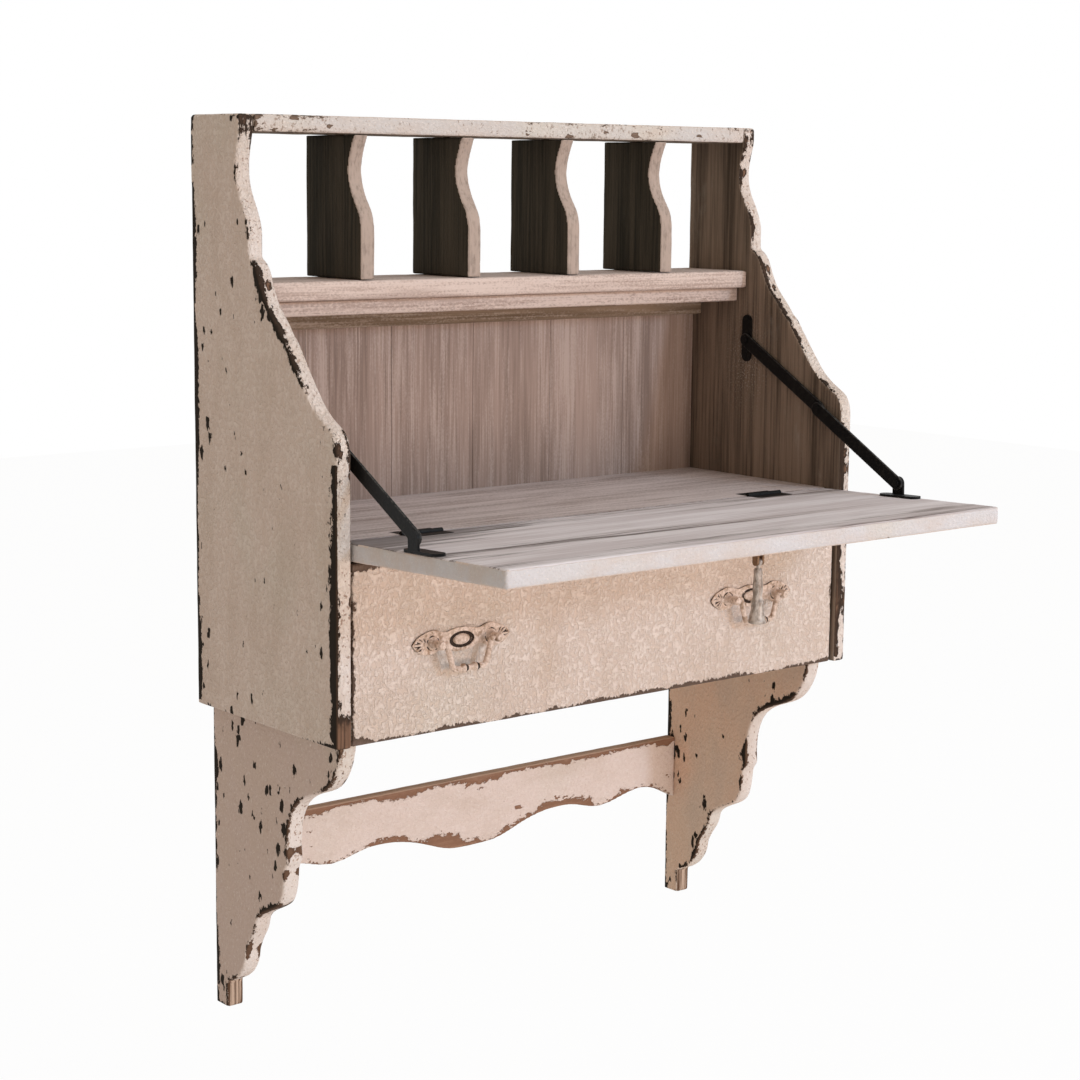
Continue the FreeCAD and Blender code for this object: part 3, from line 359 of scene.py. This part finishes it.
for name, side in (("left_gable", -1), ("right_gable", 1)):
    gable = dense_copy(name, voxel=0.0022, easing=2, wobble=0.0006)
    places, normals, edges, gaps = nearest_edges(gable)
    heights = edges[:, 2] - gable_bottom
    left_arris = edges[:, 0] < -side * gable_middle
    straight = heights < straight_front_top
    shoulder = (heights > shoulder_bottom) & (heights < shoulder_top)
    bumps = humps(heights, worn_bumps)
    on_front = normals[:, 1] < -0.6
    normals = round_over(gable, rounds=5)
    front = numpy.clip(-normals[:, 1] * 1.4 - 0.3, 0, 1)
    scroll_wear = scroll_edge + bumps * numpy.where(on_front, front_share, 1.0)
    steady = numpy.where(left_arris, scroll_wear, sound_edge)
    reach = numpy.where(shoulder, 7.0, 3.6)
    worn_strip = left_arris & straight
    if side < 0:
        strip_width = numpy.where(on_front, left_strip_on_front, left_strip_outside)
        strip_reach = numpy.where(shoulder, 7.5, 4.2)
    else:
        strip_width = numpy.where(on_front, right_strip_on_front, right_strip_inside)
        strip_reach = 2.5
    steady = numpy.where(worn_strip, strip_width, steady)
    reach = numpy.where(worn_strip, strip_reach, reach)
    frayed = (side > 0) & ~left_arris & (heights < frayed_top)
    steady = numpy.where(frayed, frayed_edge, steady)
    reach = numpy.where(frayed, 8.0, reach)
    back = edges[:, 1] > -edge_band
    bottom = heights < edge_band
    steady = numpy.where(back, back_strip, steady)
    bottom_wear = numpy.where(edges[:, 1] < -worn_corner_depth, worn_corner, sound_bottom)
    steady = numpy.where(bottom, bottom_wear, steady)
    reach = numpy.where(back | bottom, 4.5, reach)
    own_heights = places[:, 2] - gable_bottom
    foot_top = bare_foot_top if side < 0 else 0.2 * bare_foot_top
    bare_ends = numpy.maximum(foot_top - own_heights, own_heights - bare_corner_bottom)
    bare_ends = numpy.where(front > 0.5, bare_ends / millimetre + gaps / millimetre - 6.0, no_wear)
    patchy_corner = numpy.minimum(bare_ends, gaps / millimetre - 6.5)
    bare_ends = numpy.where(own_heights > bare_corner_bottom, patchy_corner, bare_ends)
    reach = numpy.where(bare_ends > hardly_worn, 7.0, reach)
    near_back = numpy.exp(places[:, 1] / 0.035)
    near_foot = numpy.exp(-own_heights / 0.16)
    stray = 0.13 + near_back * (0.2 + 0.7 * near_foot) + 0.35 * numpy.exp(-gaps / 0.02)
    stray = stray + front * (0.3 * shoulder + 0.9 * (side > 0) * (own_heights < spotted_foot_top))
    wear_by(gable, gaps, numpy.maximum(steady, bare_ends), reach, stray)
    store(gable, "front", front)
    store(gable, "blister", 0.1 + 0.6 * front)
    store(gable, "inner", normals[:, 0] * -side > 0.75)
    from_plate = numpy.linalg.norm((places[:, 1:] - dust_place) / dust_spread, axis=1)
    store(gable, "dust", 0.8 * numpy.exp(-from_plate ** 2))
    dress(gable, gable_paint, "carcass", name)

# Top board
# A plain board doweled between the gables, flush with their upper front corners. It is painted on top and
# in front, where the paint has come off in patches, and stained dark underneath.
top_white = (0.61, 0.59, 0.57, 1)
top_woods = ((0.16, 0.11, 0.08, 1), (0.30, 0.215, 0.16, 1))
top_paint = chipped_paint("top_paint", 0, (paint_cream, top_white), top_woods, stained_inside, thin_relief)
top = dense_copy("top_board", voxel=0.0024, easing=2, wobble=0.0006)
places, normals, edges, gaps = nearest_edges(top)
from_left = places[:, 0] - places[:, 0].min()
from_right = places[:, 0].max() - places[:, 0]
near_end = numpy.exp(-from_left / 0.07) + 0.6 * numpy.exp(-from_right / 0.06)
steady = numpy.where(normals[:, 1] < 0.5, -6.5 + 1.5 * near_end, -8.0)
wear_by(top, gaps, steady, reach=5.0, stray=0.42 + 0.25 * near_end)
store(top, "blister", 0.7 + 0 * gaps)
store(top, "front", numpy.clip(-normals[:, 1] * 1.4 - 0.3, 0, 1))
store(top, "inner", normals[:, 2] < -0.75)
dress(top, top_paint, "carcass", "top_board")

# Pigeonhole dividers
# Four thin boards whose fronts are sawn to the same curve as the gables and rubbed round. Their faces are
# stained nearly black, and their front edges are whitewashed.
divider_wash = (0.47, 0.375, 0.315, 1)
divider_dark = (0.022, 0.019, 0.012, 1)
divider_pale = (0.085, 0.07, 0.05, 1)
divider_smudge = (0.30, 0.24, 0.20, 1)


def edge_washed_wood(name, along, dark, pale, wash):
    """Stained wood whose marked edge faces are whitewashed and rubbed."""
    material, surface, place = begin(name)
    cloud = noise(place, (160.0, 160.0, 70.0), 5.0, 0.65)
    hair = noise(place, drawn_out(480.0, along, 14.0), 2.0)
    film = rise(stored(place, "inner") + (cloud - 0.5) * 0.9, 0.42, 0.62)
    rubbed = blend(rise(cloud * 0.6 + hair * 0.4, 0.34, 0.54), divider_smudge, wash)
    colour = blend(film, grain_colour(place, along, dark, pale), rubbed)
    end(surface, colour, 0.8, hair * 0.5 + film * 0.3 + cloud * 0.4, 0.0009)
    return material


divider_finish = edge_washed_wood("divider_finish", 2, divider_dark, divider_pale, divider_wash)
for number in range(1, 5):
    name = "divider_%d" % number
    divider = dense_copy(name, voxel=0.0018, easing=3, wobble=0.0008)
    store(divider, "inner", points_of(divider.data, "normal")[:, 1] < -0.4)
    dress(divider, divider_finish, "carcass", name)

# Pigeonhole shelf, flap stop and shelf cleat
# The shelf is one board between the gables, with the strip that the closed flap rests on under its front
# and a cleat under its back. All three are whitewashed, with the grain showing through along them.


def washed_wood(name, along, dark, pale, wash, cover, streak, speckle):
    """Wood with open grain along one axis, under a thin speckled wash that covers part of it."""
    material, surface, place = begin(name)
    thin = noise(place, drawn_out(46.0, along, 3.2), 6.0, 0.65)
    hair = noise(place, drawn_out(520.0, along, 12.0), 2.0)
    speck = noise(place, drawn_out(520.0, along, 330.0), 2.0)
    bare_below, full_above = 0.60 - cover * 0.5, 0.95 - cover * 0.5
    film = rise(thin + (hair - 0.5) * 0.7 + (speck - 0.5) * speckle, bare_below, full_above)
    colour = blend(film * 0.85, grain_colour(place, along, dark, pale), wash)
    stripe = rise(noise(place, drawn_out(26.0, along, 2.0), 4.0, 0.7), 0.58, 0.72) * streak
    colour = blend(stripe, colour, dark)
    end(surface, colour, 0.78, hair * 0.5 + thin * 0.3 + speck * 0.2, 0.0008)
    return material


shelf_finish = washed_wood("shelf_finish", 0, (0.35, 0.25, 0.205, 1), (0.55, 0.43, 0.37, 1),
                           (0.74, 0.615, 0.545, 1), cover=0.60, streak=0.3, speckle=0.8)
cleat_finish = washed_wood("cleat_finish", 0, (0.16, 0.115, 0.078, 1), (0.30, 0.22, 0.155, 1),
                           (0.44, 0.36, 0.30, 1), cover=0.4, streak=0.5, speckle=0.6)
for name, material in (("pigeonhole_shelf", shelf_finish), ("flap_stop_rail", shelf_finish),
                       ("shelf_cleat", cleat_finish)):
    strip = dense_copy(name, voxel=0.0024, easing=2, wobble=0.0005)
    dress(strip, material, "carcass", name)

# Back planks, writing floor and bottom board
# Upright planks close the back behind the writing space and the drawer, nailed to the boards. The planks and
# the floor are washed grey brown, and the bottom board under the drawer is bare.


def finish(material, *names):
    """Puts a material on CAD nodes that keep their own shape."""
    for name in names:
        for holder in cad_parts[name].material_slots:
            holder.material = material


plank_finish = washed_wood("plank_finish", 2, (0.26, 0.188, 0.153, 1), (0.44, 0.328, 0.275, 1),
                           (0.54, 0.43, 0.375, 1), cover=0.40, streak=0.45, speckle=0.3)
floor_finish = washed_wood("floor_finish", 0, (0.28, 0.215, 0.185, 1), (0.53, 0.45, 0.425, 1),
                           (0.70, 0.62, 0.60, 1), cover=0.6, streak=0.4, speckle=0.5)
bare_finish = washed_wood("bare_finish", 0, (0.30, 0.20, 0.125, 1), (0.46, 0.33, 0.22, 1),
                          (0.48, 0.36, 0.25, 1), cover=0.3, streak=0.3, speckle=0.4)
finish(plank_finish, "back_planks")
finish(floor_finish, "writing_floor")
finish(bare_finish, "bottom_board", "carcass_dowels", "drawer_dowels")

# Brackets
# Two boards sawn to a row of scrolls, screwed up under the bottom board just inside the gables. Their paint
# is flaked in upright chips, most of all by the noses of the scrolls, and their tails are bare in front. The
# right one's sides are painted a warmer tan as painted light, for warm light bouncing onto its inner face.
bracket_low, bracket_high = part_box("left_bracket")
bare_tail = 0.030
bare_tail_top = bracket_low.z + bare_tail
left_nose_bumps = ((0.60, 0.016, 4.0), (0.525, 0.013, 4.0), (0.40, 0.03, 4.0), (0.22, 0.03, 4.0))
right_nose_bumps = ((0.96, 0.03, 3.0), (0.86, 0.02, 4.0), (0.77, 0.02, 2.5), (0.60, 0.045, 8.0),
                    (0.50, 0.02, 3.5), (0.10, 0.04, 3.0))


def striped_tail(place):
    """Bare end of a tail, in upright stripes of brown and pale wood."""
    stripe = noise(place, drawn_out(330.0, 2, 4.0), 2.0)
    return blend(rise(stripe, 0.42, 0.60), (0.12, 0.066, 0.04, 1), (0.56, 0.42, 0.32, 1))


bracket_cream = (0.62, 0.49, 0.425, 1)
# Warm tan on the right bracket's sides is painted light: it stands in for warm light bouncing onto its inner
# face.
painted_bounce_tan = (0.80, 0.55, 0.395, 1)
bracket_woods = ((0.13, 0.075, 0.048, 1), (0.33, 0.20, 0.13, 1))
left_paint = chipped_paint("left_bracket_paint", 2, (bracket_cream, paint_white), bracket_woods,
                           striped_tail, thin_relief)
right_bounce_paint = chipped_paint("right_bracket_bounce_paint", 2, (painted_bounce_tan, paint_white), bracket_woods,
                            striped_tail, thin_relief)
for name, side, nose_bumps, paint in (("left_bracket", -1, left_nose_bumps, left_paint),
                                      ("right_bracket", 1, right_nose_bumps, right_bounce_paint)):
    bracket = dense_copy(name, voxel=0.002, easing=2, wobble=0.0007)
    places, normals, edges, gaps = nearest_edges(bracket)
    back = edges[:, 1] > -edge_band
    outer_face = normals[:, 0] * side > 0.7
    on_front = numpy.abs(normals[:, 0]) < 0.6
    normals = round_over(bracket, rounds=4)
    front = numpy.clip(-normals[:, 1] * 1.4 - 0.1, 0, 1)
    share_up = (places[:, 2] - bracket_low.z) / (bracket_high.z - bracket_low.z)
    left_arris = edges[:, 0] < places[:, 0].mean()
    edge_share = (edges[:, 2] - bracket_low.z) / (bracket_high.z - bracket_low.z)
    bumps = humps(edge_share, nose_bumps)
    arris_wear = numpy.where(left_arris, numpy.where(on_front, -2.6, -1.6 + 1.0 * side), -3.5)
    steady = numpy.where(back, 1.2, arris_wear + bumps * numpy.where(on_front, 1.3 - 0.8 * side, 1.0))
    steady = numpy.where(edge_share > 0.985, -3.0, steady)
    near_back = numpy.exp(places[:, 1] / 0.02)
    near_edge = numpy.exp(-gaps / 0.02)
    stray = 0.15 + outer_face * (0.12 + 0.42 * share_up ** 3 + 0.3 * near_back) + 0.2 * front
    stray = stray + (0.5 + 0.15 * side) * near_edge * (1 - front) + 0.6 * (share_up < 0.1)
    wear_by(bracket, gaps, steady, numpy.where(front > 0.5, 3.5, 5.0), stray)
    store(bracket, "blister", 0.15 + 0.65 * front)
    store(bracket, "front", front)
    store(bracket, "inner", (normals[:, 1] < -0.6) & (places[:, 2] < bare_tail_top))
    dress(bracket, paint, "carcass", name)

# Lower rail
# A board between the brackets with a wavy lower edge. Its top edge is worn down to the bare red-brown wood,
# and its paint has broken away in patches along both edges, most of all at its belly.
rail_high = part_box("lower_rail")[1]


def worn_rail_top(place):
    """Bare red-brown wood of the rail's top edge."""
    return grain_colour(place, 0, (0.36, 0.23, 0.155, 1), (0.58, 0.41, 0.30, 1))


rail_cream = (0.78, 0.655, 0.59, 1)
rail_woods = ((0.26, 0.14, 0.088, 1), (0.42, 0.25, 0.165, 1))
rail_paint = chipped_paint("rail_paint", 0, (rail_cream, rail_cream), rail_woods, worn_rail_top, thin_relief)
rail = dense_copy("lower_rail", voxel=0.002, easing=2, wobble=0.0006)
places, normals, edges, gaps = nearest_edges(rail)
upper = edges[:, 2] > rail_high.z - edge_band
in_joint = numpy.abs(edges[:, 0]) > rail_high.x - edge_band
belly_bump = (-0.035, 0.04, 8.0)
belly = humps(edges[:, 0], (belly_bump,))
steady = numpy.where(upper, 2.2, numpy.where(in_joint, -9.0, -0.6 + belly))
wear_by(rail, gaps, steady, reach=numpy.where(upper, 5.0, 8.0), stray=0.3)
store(rail, "blister", 0.15 + 0 * gaps)
store(rail, "front", numpy.ones(len(places)))
store(rail, "inner", normals[:, 2] > 0.6)
dress(rail, rail_paint, "carcass", "lower_rail")

# Wall hangers, nails and screws
# Steel plates let into the back edges of the gables, with the screws and nails that hold the wood together.
# They are bright zinc gone dull.
plain_steel, plain_surface, plain_place = begin("plain_steel")
plain_surface.inputs["Metallic"].default_value = 1.0
plain_tone = noise(plain_place, (300.0, 300.0, 300.0), 4.0)
plain_colour = blend(plain_tone, (0.30, 0.29, 0.28, 1), (0.55, 0.54, 0.52, 1))
end(plain_surface, plain_colour, 0.42, plain_tone, 0.0001)
finish(plain_steel, "hanger_plates", "hanger_screws", "back_nails", "bracket_screws", "pull_nuts")

# Drawer
# A box of thin bare boards with a thick front that closes over the bottom board's edge. The front is brushed
# with the same cream paint, pebbled by the brush, and broken along its lower edge and at its upper corners.
drawer_low, drawer_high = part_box("drawer_front")


def bare_drawer_back(place):
    """Bare wood of the face that the drawer's box is joined to."""
    return grain_colour(place, 0, (0.30, 0.20, 0.125, 1), (0.46, 0.33, 0.22, 1))


drawer_woods = ((0.12, 0.082, 0.062, 1), (0.27, 0.195, 0.155, 1))
drawer_relief = 0.0025
drawer_paint = chipped_paint("drawer_paint", 2, (paint_cream, paint_cream), drawer_woods, bare_drawer_back,
                             drawer_relief)
drawer_front = dense_copy("drawer_front", voxel=0.0024, easing=2, wobble=0.0005)
places, normals, edges, gaps = nearest_edges(drawer_front)
from_left = edges[:, 0] - drawer_low.x
from_end = numpy.minimum(from_left, drawer_high.x - edges[:, 0])
lower = edges[:, 2] < drawer_low.z + edge_band
upper = edges[:, 2] > drawer_high.z - edge_band
steady = numpy.where(lower, -0.8 + 5.0 * numpy.exp(-from_end / 0.06), -2.5)
steady = numpy.where(upper, -2.0 + 8.0 * numpy.exp(-from_left / 0.06), steady)
wear_by(drawer_front, gaps, steady, reach=4.0, stray=0.035 + 0.1 * numpy.exp(-gaps / 0.012))
store(drawer_front, "blister", 0 * gaps)
store(drawer_front, "front", numpy.ones(len(places)))
store(drawer_front, "inner", normals[:, 1] > 0.7)
dress(drawer_front, drawer_paint, "drawer", "drawer_front")
finish(bare_finish, "drawer_left_side", "drawer_right_side", "drawer_back", "drawer_bottom")

# Drawer pulls
# Cast plates with fluted pointed ends, two posts and a hanging bail with two beads, all painted over with the
# drawer and rubbed so that dirt stays dark in the hollows. Painted shade also darkens the hollows, the
# outline against the drawer, the faces turned down, back and to the right, and the right sides of the beads.
plate_rim = 0.0013
plate_foot = drawer_low.y - plate_rim
deep_hollow = 0.00012
bead_radius = 0.0046
bead_offset = 0.007
casting, casting_surface, casting_place = begin("painted_casting")
casting_cloud = noise(casting_place, (300.0, 300.0, 300.0), 4.0, 0.65)
casting_patch = noise(casting_place, (130.0, 130.0, 130.0), 3.0)
# One stored mark turns the casting's paint near black: dirt in its hollows, plus painted shade on its
# outline, undersides, right-turned faces and bead sides.
casting_dirt_and_shade = stored(casting_place, "dirt_and_shade") * (0.4 + rise(casting_patch, 0.40, 0.58) * 0.6)
casting_dirt_and_shade = casting_dirt_and_shade + (casting_cloud - 0.5) * 1.4
casting_paint = blend(rise(casting_cloud, 0.35, 0.65), (0.56, 0.42, 0.325, 1), (0.82, 0.68, 0.59, 1))
casting_paint = blend(rise(casting_patch, 0.52, 0.66) * 0.7, casting_paint, (0.30, 0.19, 0.115, 1))
casting_colour = blend(rise(casting_dirt_and_shade, 0.30, 0.46), casting_paint, (0.035, 0.02, 0.013, 1))
end(casting_surface, casting_colour, 0.5, casting_cloud, 0.0008)
for name, body in (("left_pull_plate", "drawer"), ("right_pull_plate", "drawer"), ("pull_posts", "drawer"),
                   ("pull_plate_pins", "drawer"), ("left_bail", "left_bail"), ("right_bail", "right_bail")):
    cast = dense_copy(name, voxel=0.0005, easing=2, wobble=0.0)
    facing = points_of(cast.data, "normal")
    # Faces turned down, back towards the drawer and to the right are painted darker as shade.
    facing_shade = numpy.clip(facing[:, 0] * 0.8 - facing[:, 2] * 0.3 + facing[:, 1] * 0.4, 0, 1)
    spots = points_of(cast.data, "co")
    # Points right against the drawer face are painted dark as the shade along the plates' outline.
    foot_shade = spots[:, 1] > plate_foot
    # The hollows are darkened by dirt and painted shade, added to the painted shade marks above.
    dirt_and_shade = numpy.clip(stand_out(cast) / -deep_hollow, 0, 1) + foot_shade * 0.9 + facing_shade * 1.1
    # The right sides of the bail's beads are painted dark as shade.
    if body != "drawer":
        bead_at = numpy.abs(spots - (spots.max(axis=0) + spots.min(axis=0)) / 2)[:, 0]
        low = spots[:, 2] < spots[:, 2].min() + 2 * bead_radius
        on_bead = low & (numpy.abs(bead_at - bead_offset) < bead_radius)
        dirt_and_shade = dirt_and_shade + 2.5 * on_bead * (facing[:, 0] > 0.1)
    store(cast, "dirt_and_shade", dirt_and_shade)
    dress(cast, casting, body, name)

# Flap
# The writing flap is a flat board, washed grey and streaked along its length on top, with cream paint on its
# edges and underneath. Its dark streaks gather near the hinge and the left end as painted shade.


def washed_flap_top(place):
    """Grey wash over brown wood, with a few darker streaks along the flap and more near the hinge and the
    left end, where they are painted shade.
    """
    cloud = noise(place, drawn_out(34.0, 0, 2.6), 6.0, 0.66)
    hair = noise(place, drawn_out(560.0, 0, 10.0), 2.0)
    wash = blend(rise(cloud + (hair - 0.5) * 0.6, 0.34, 0.66), (0.66, 0.60, 0.60, 1), (0.87, 0.83, 0.84, 1))
    thread = noise(place, drawn_out(30.0, 0, 1.5), 5.0, 0.7) + (hair - 0.5) * 0.3
    painted_flap_shade = stored(place, "painted_flap_shade")
    wash = blend(rise(thread, 0.54, 0.68) * 0.6, wash, (0.24, 0.175, 0.145, 1))
    return blend(rise(thread + painted_flap_shade * 0.35, 0.62, 0.72) * 0.75, wash, (0.09, 0.07, 0.06, 1))


flap_white = (0.65, 0.645, 0.66, 1)
flap_woods = ((0.17, 0.12, 0.09, 1), (0.30, 0.23, 0.18, 1))
flap_relief = 0.0006
flap_paint = chipped_paint("flap_paint", 0, (paint_cream, flap_white), flap_woods, washed_flap_top,
                           flap_relief)
flap = dense_copy("flap_panel", voxel=0.0024, easing=2, wobble=0.0003)
places, normals, edges, gaps = nearest_edges(flap)
from_hinge = places[:, 1].max() - places[:, 1]
from_left = places[:, 0] - places[:, 0].min()
# Painted shade near the hinge and towards the left end, laid on as more dark streaks.
painted_flap_shade = numpy.exp(-from_hinge / 0.06 - from_left / 0.18) + 0.3 * numpy.exp(-from_left / 0.25)
store(flap, "painted_flap_shade", painted_flap_shade)
wear_by(flap, gaps, steady=-4.4, reach=3.0, stray=0.03)
store(flap, "blister", 0 * gaps)
store(flap, "front", numpy.abs(normals[:, 2]) < 0.7)
store(flap, "inner", normals[:, 2] > 0.75)
dress(flap, flap_paint, "flap", "flap_panel")

# Hinges and stays
# Two butt hinges let into the floor and the flap, and a folding stay at each side: a plate on the gable, two
# flat links riveted at the elbow and a foot on the flap. All are black steel. The links' edges are paler:
# partly rubbed wear and partly a painted highlight.
black_steel, black_surface, black_place = begin("black_steel")
black_cloud = noise(black_place, (260.0, 260.0, 260.0), 4.0)
black_paint = blend(rise(black_cloud, 0.45, 0.75), (0.004, 0.004, 0.004, 1), (0.014, 0.013, 0.011, 1))
# The links' standing edges, stored as rubbed, turn pale: partly worn steel and partly a painted highlight
# where the edges catch the light.
black_wear_and_highlight = stored(black_place, "rubbed") * rise(black_cloud, 0.35, 0.6)
black_colour = blend(black_wear_and_highlight, black_paint, (0.17, 0.165, 0.155, 1))
end(black_surface, black_colour, 0.38 + black_cloud * 0.2, black_cloud, 0.0002)
finish(black_steel, "hinge_floor_leaves", "hinge_flap_leaves", "hinge_pins", "hinge_floor_screws",
       "hinge_flap_screws", "stay_wall_plates", "stay_wall_rivets", "stay_wall_screws", "stay_feet",
       "stay_foot_rivets", "stay_foot_screws", "left_elbow_rivet_tail", "left_elbow_rivet_head",
       "right_elbow_rivet_tail", "right_elbow_rivet_head")
# Edges that stand out this far get the full pale wear and painted highlight.
worn_highlight_edge = 0.0004
for name in ("left_upper_link", "left_lower_link", "right_upper_link", "right_lower_link"):
    link = dense_copy(name, voxel=0.0006, easing=1, wobble=0.0)
    store(link, "rubbed", numpy.clip(stand_out(link) / worn_highlight_edge, 0, 1))
    dress(link, black_steel, name, name)

# Drop pull
# A small turned drop of grey aged metal that hangs from a brown eared rosette under the flap's front edge.
# The rosette is bronzed.
aged_metal, aged_surface, aged_place = begin("aged_metal")
aged_cloud = noise(aged_place, (240.0, 240.0, 120.0), 5.0, 0.65)
aged_surface.inputs["Metallic"].default_value = 0.4
aged_colour = blend(rise(aged_cloud, 0.36, 0.66), (0.24, 0.19, 0.155, 1), (0.56, 0.49, 0.43, 1))
end(aged_surface, aged_colour, 0.48, aged_cloud, 0.0003)
brown_metal, brown_surface, brown_place = begin("brown_metal")
brown_cloud = noise(brown_place, (300.0, 300.0, 300.0), 4.0)
brown_surface.inputs["Metallic"].default_value = 0.5
brown_colour = blend(brown_cloud, (0.10, 0.055, 0.03, 1), (0.32, 0.19, 0.11, 1))
end(brown_surface, brown_colour, 0.45, brown_cloud, 0.0002)
finish(aged_metal, "drop_pull")
finish(brown_metal, "drop_pull_mount", "drop_pull_pin")

# Studio
# A pale floor well below the wall-hung desk, a wide warm light low in front, a small cool one from the upper
# right, a soft one from above and a white surround.
floor_drop = 0.35
floor_size = 14.0
floor_glow = 0.96
bpy.ops.object.select_all(action="DESELECT")
bpy.ops.mesh.primitive_plane_add(size=floor_size, location=(0, 0, cad_box[0].z - floor_drop))
floor = bpy.context.object
floor.name = "studio_floor"
pale_floor, pale_surface, pale_place = begin("pale_floor")
pale_surface.inputs["Base Color"].default_value = (0.93, 0.93, 0.93, 1)
pale_surface.inputs["Roughness"].default_value = 0.9


def seen_directly(place):
    """1 for what the camera sees straight or in a mirror, 0 for the light that falls on the desk."""
    rays = place.add("ShaderNodeLightPath", {}, {}, "Is Camera Ray")
    glossy = place.add("ShaderNodeLightPath", {}, {}, "Is Glossy Ray")
    through = place.add("ShaderNodeLightPath", {}, {}, "Is Transmission Ray")
    return rays.reckon("MAXIMUM", rays, glossy.reckon("MAXIMUM", glossy, through))


floor_tree = pale_floor.node_tree
floor_white = pale_place.add("ShaderNodeEmission", {}, {"Color": (1, 1, 1, 1)})
floor_grey = Shade(floor_tree, pale_surface.outputs[0])
floor_mix = pale_place.add("ShaderNodeMixShader", {},
                           {0: seen_directly(pale_place) * floor_glow, 1: floor_grey, 2: floor_white})
floor_tree.links.new(floor_mix.socket, floor_tree.nodes["Material Output"].inputs["Surface"])
floor.data.materials.append(pale_floor)

world = bpy.data.worlds.new("surround")
bpy.context.scene.world = world
world.use_nodes = True
surround = world.node_tree.nodes["Background"]
surround_start = Shade(world.node_tree, surround.outputs[0])
surround_colour = blend(seen_directly(surround_start), (0.485, 0.425, 0.37, 1), (1, 1, 1, 1))
world.node_tree.links.new(surround_colour.socket, surround.inputs["Color"])

desk_middle = Vector((0, -0.12, -0.42))


def soft_lamp(name, turn, lift, distance, wide, tall, power, colour):
    """Oblong lamp aimed at the desk, so many degrees round to the right of its front and so many up."""
    turn = math.radians(turn)
    lift = math.radians(lift)
    lamp = bpy.data.lights.new(name, "AREA")
    lamp.shape = "RECTANGLE"
    lamp.size = wide
    lamp.size_y = tall
    lamp.energy = power
    lamp.color = colour
    holder = bpy.data.objects.new(name, lamp)
    bpy.context.collection.objects.link(holder)
    way = Vector((math.sin(turn) * math.cos(lift), -math.cos(turn) * math.cos(lift), math.sin(lift)))
    holder.location = desk_middle + way * distance
    holder.rotation_euler = way.to_track_quat("Z", "Y").to_euler()
    holder.visible_camera = False


soft_lamp("front_lamp", turn=10, lift=-3, distance=6.0, wide=5.5, tall=1.2, power=151.0,
          colour=(1.0, 0.81, 0.71))
soft_lamp("key_lamp", turn=22, lift=19, distance=7.0, wide=0.8, tall=0.8, power=109.0,
          colour=(0.5, 0.73, 1.0))
soft_lamp("top_lamp", turn=30, lift=65, distance=7.0, wide=2.5, tall=2.5, power=92.0,
          colour=(0.95, 0.97, 1.0))

# Camera
# It stands where the photograph was taken: to the left of the desk's front and a little above its middle.
# Its lens gives the photograph's field of view on a square frame.
camera_place = Vector((-1.55287, -2.00912, -0.01753))
camera_azimuth = math.radians(39.56)
camera_fall = math.radians(9.02)
camera_roll = math.radians(0.59)
photo_width = 1080.0
photo_focal = 2291.5
lens = bpy.data.cameras.new("camera")
lens.lens = lens.sensor_width * photo_focal / photo_width
lens.clip_end = 50.0
camera = bpy.data.objects.new("camera", lens)
bpy.context.collection.objects.link(camera)
level_turn = Euler((math.pi / 2 - camera_fall, 0, -camera_azimuth)).to_matrix()
turn = level_turn @ Matrix.Rotation(camera_roll, 3, "Z")
camera.location = camera_place
camera.rotation_euler = turn.to_euler()
bpy.context.scene.camera = camera
bpy.context.scene.view_settings.view_transform = "Standard"
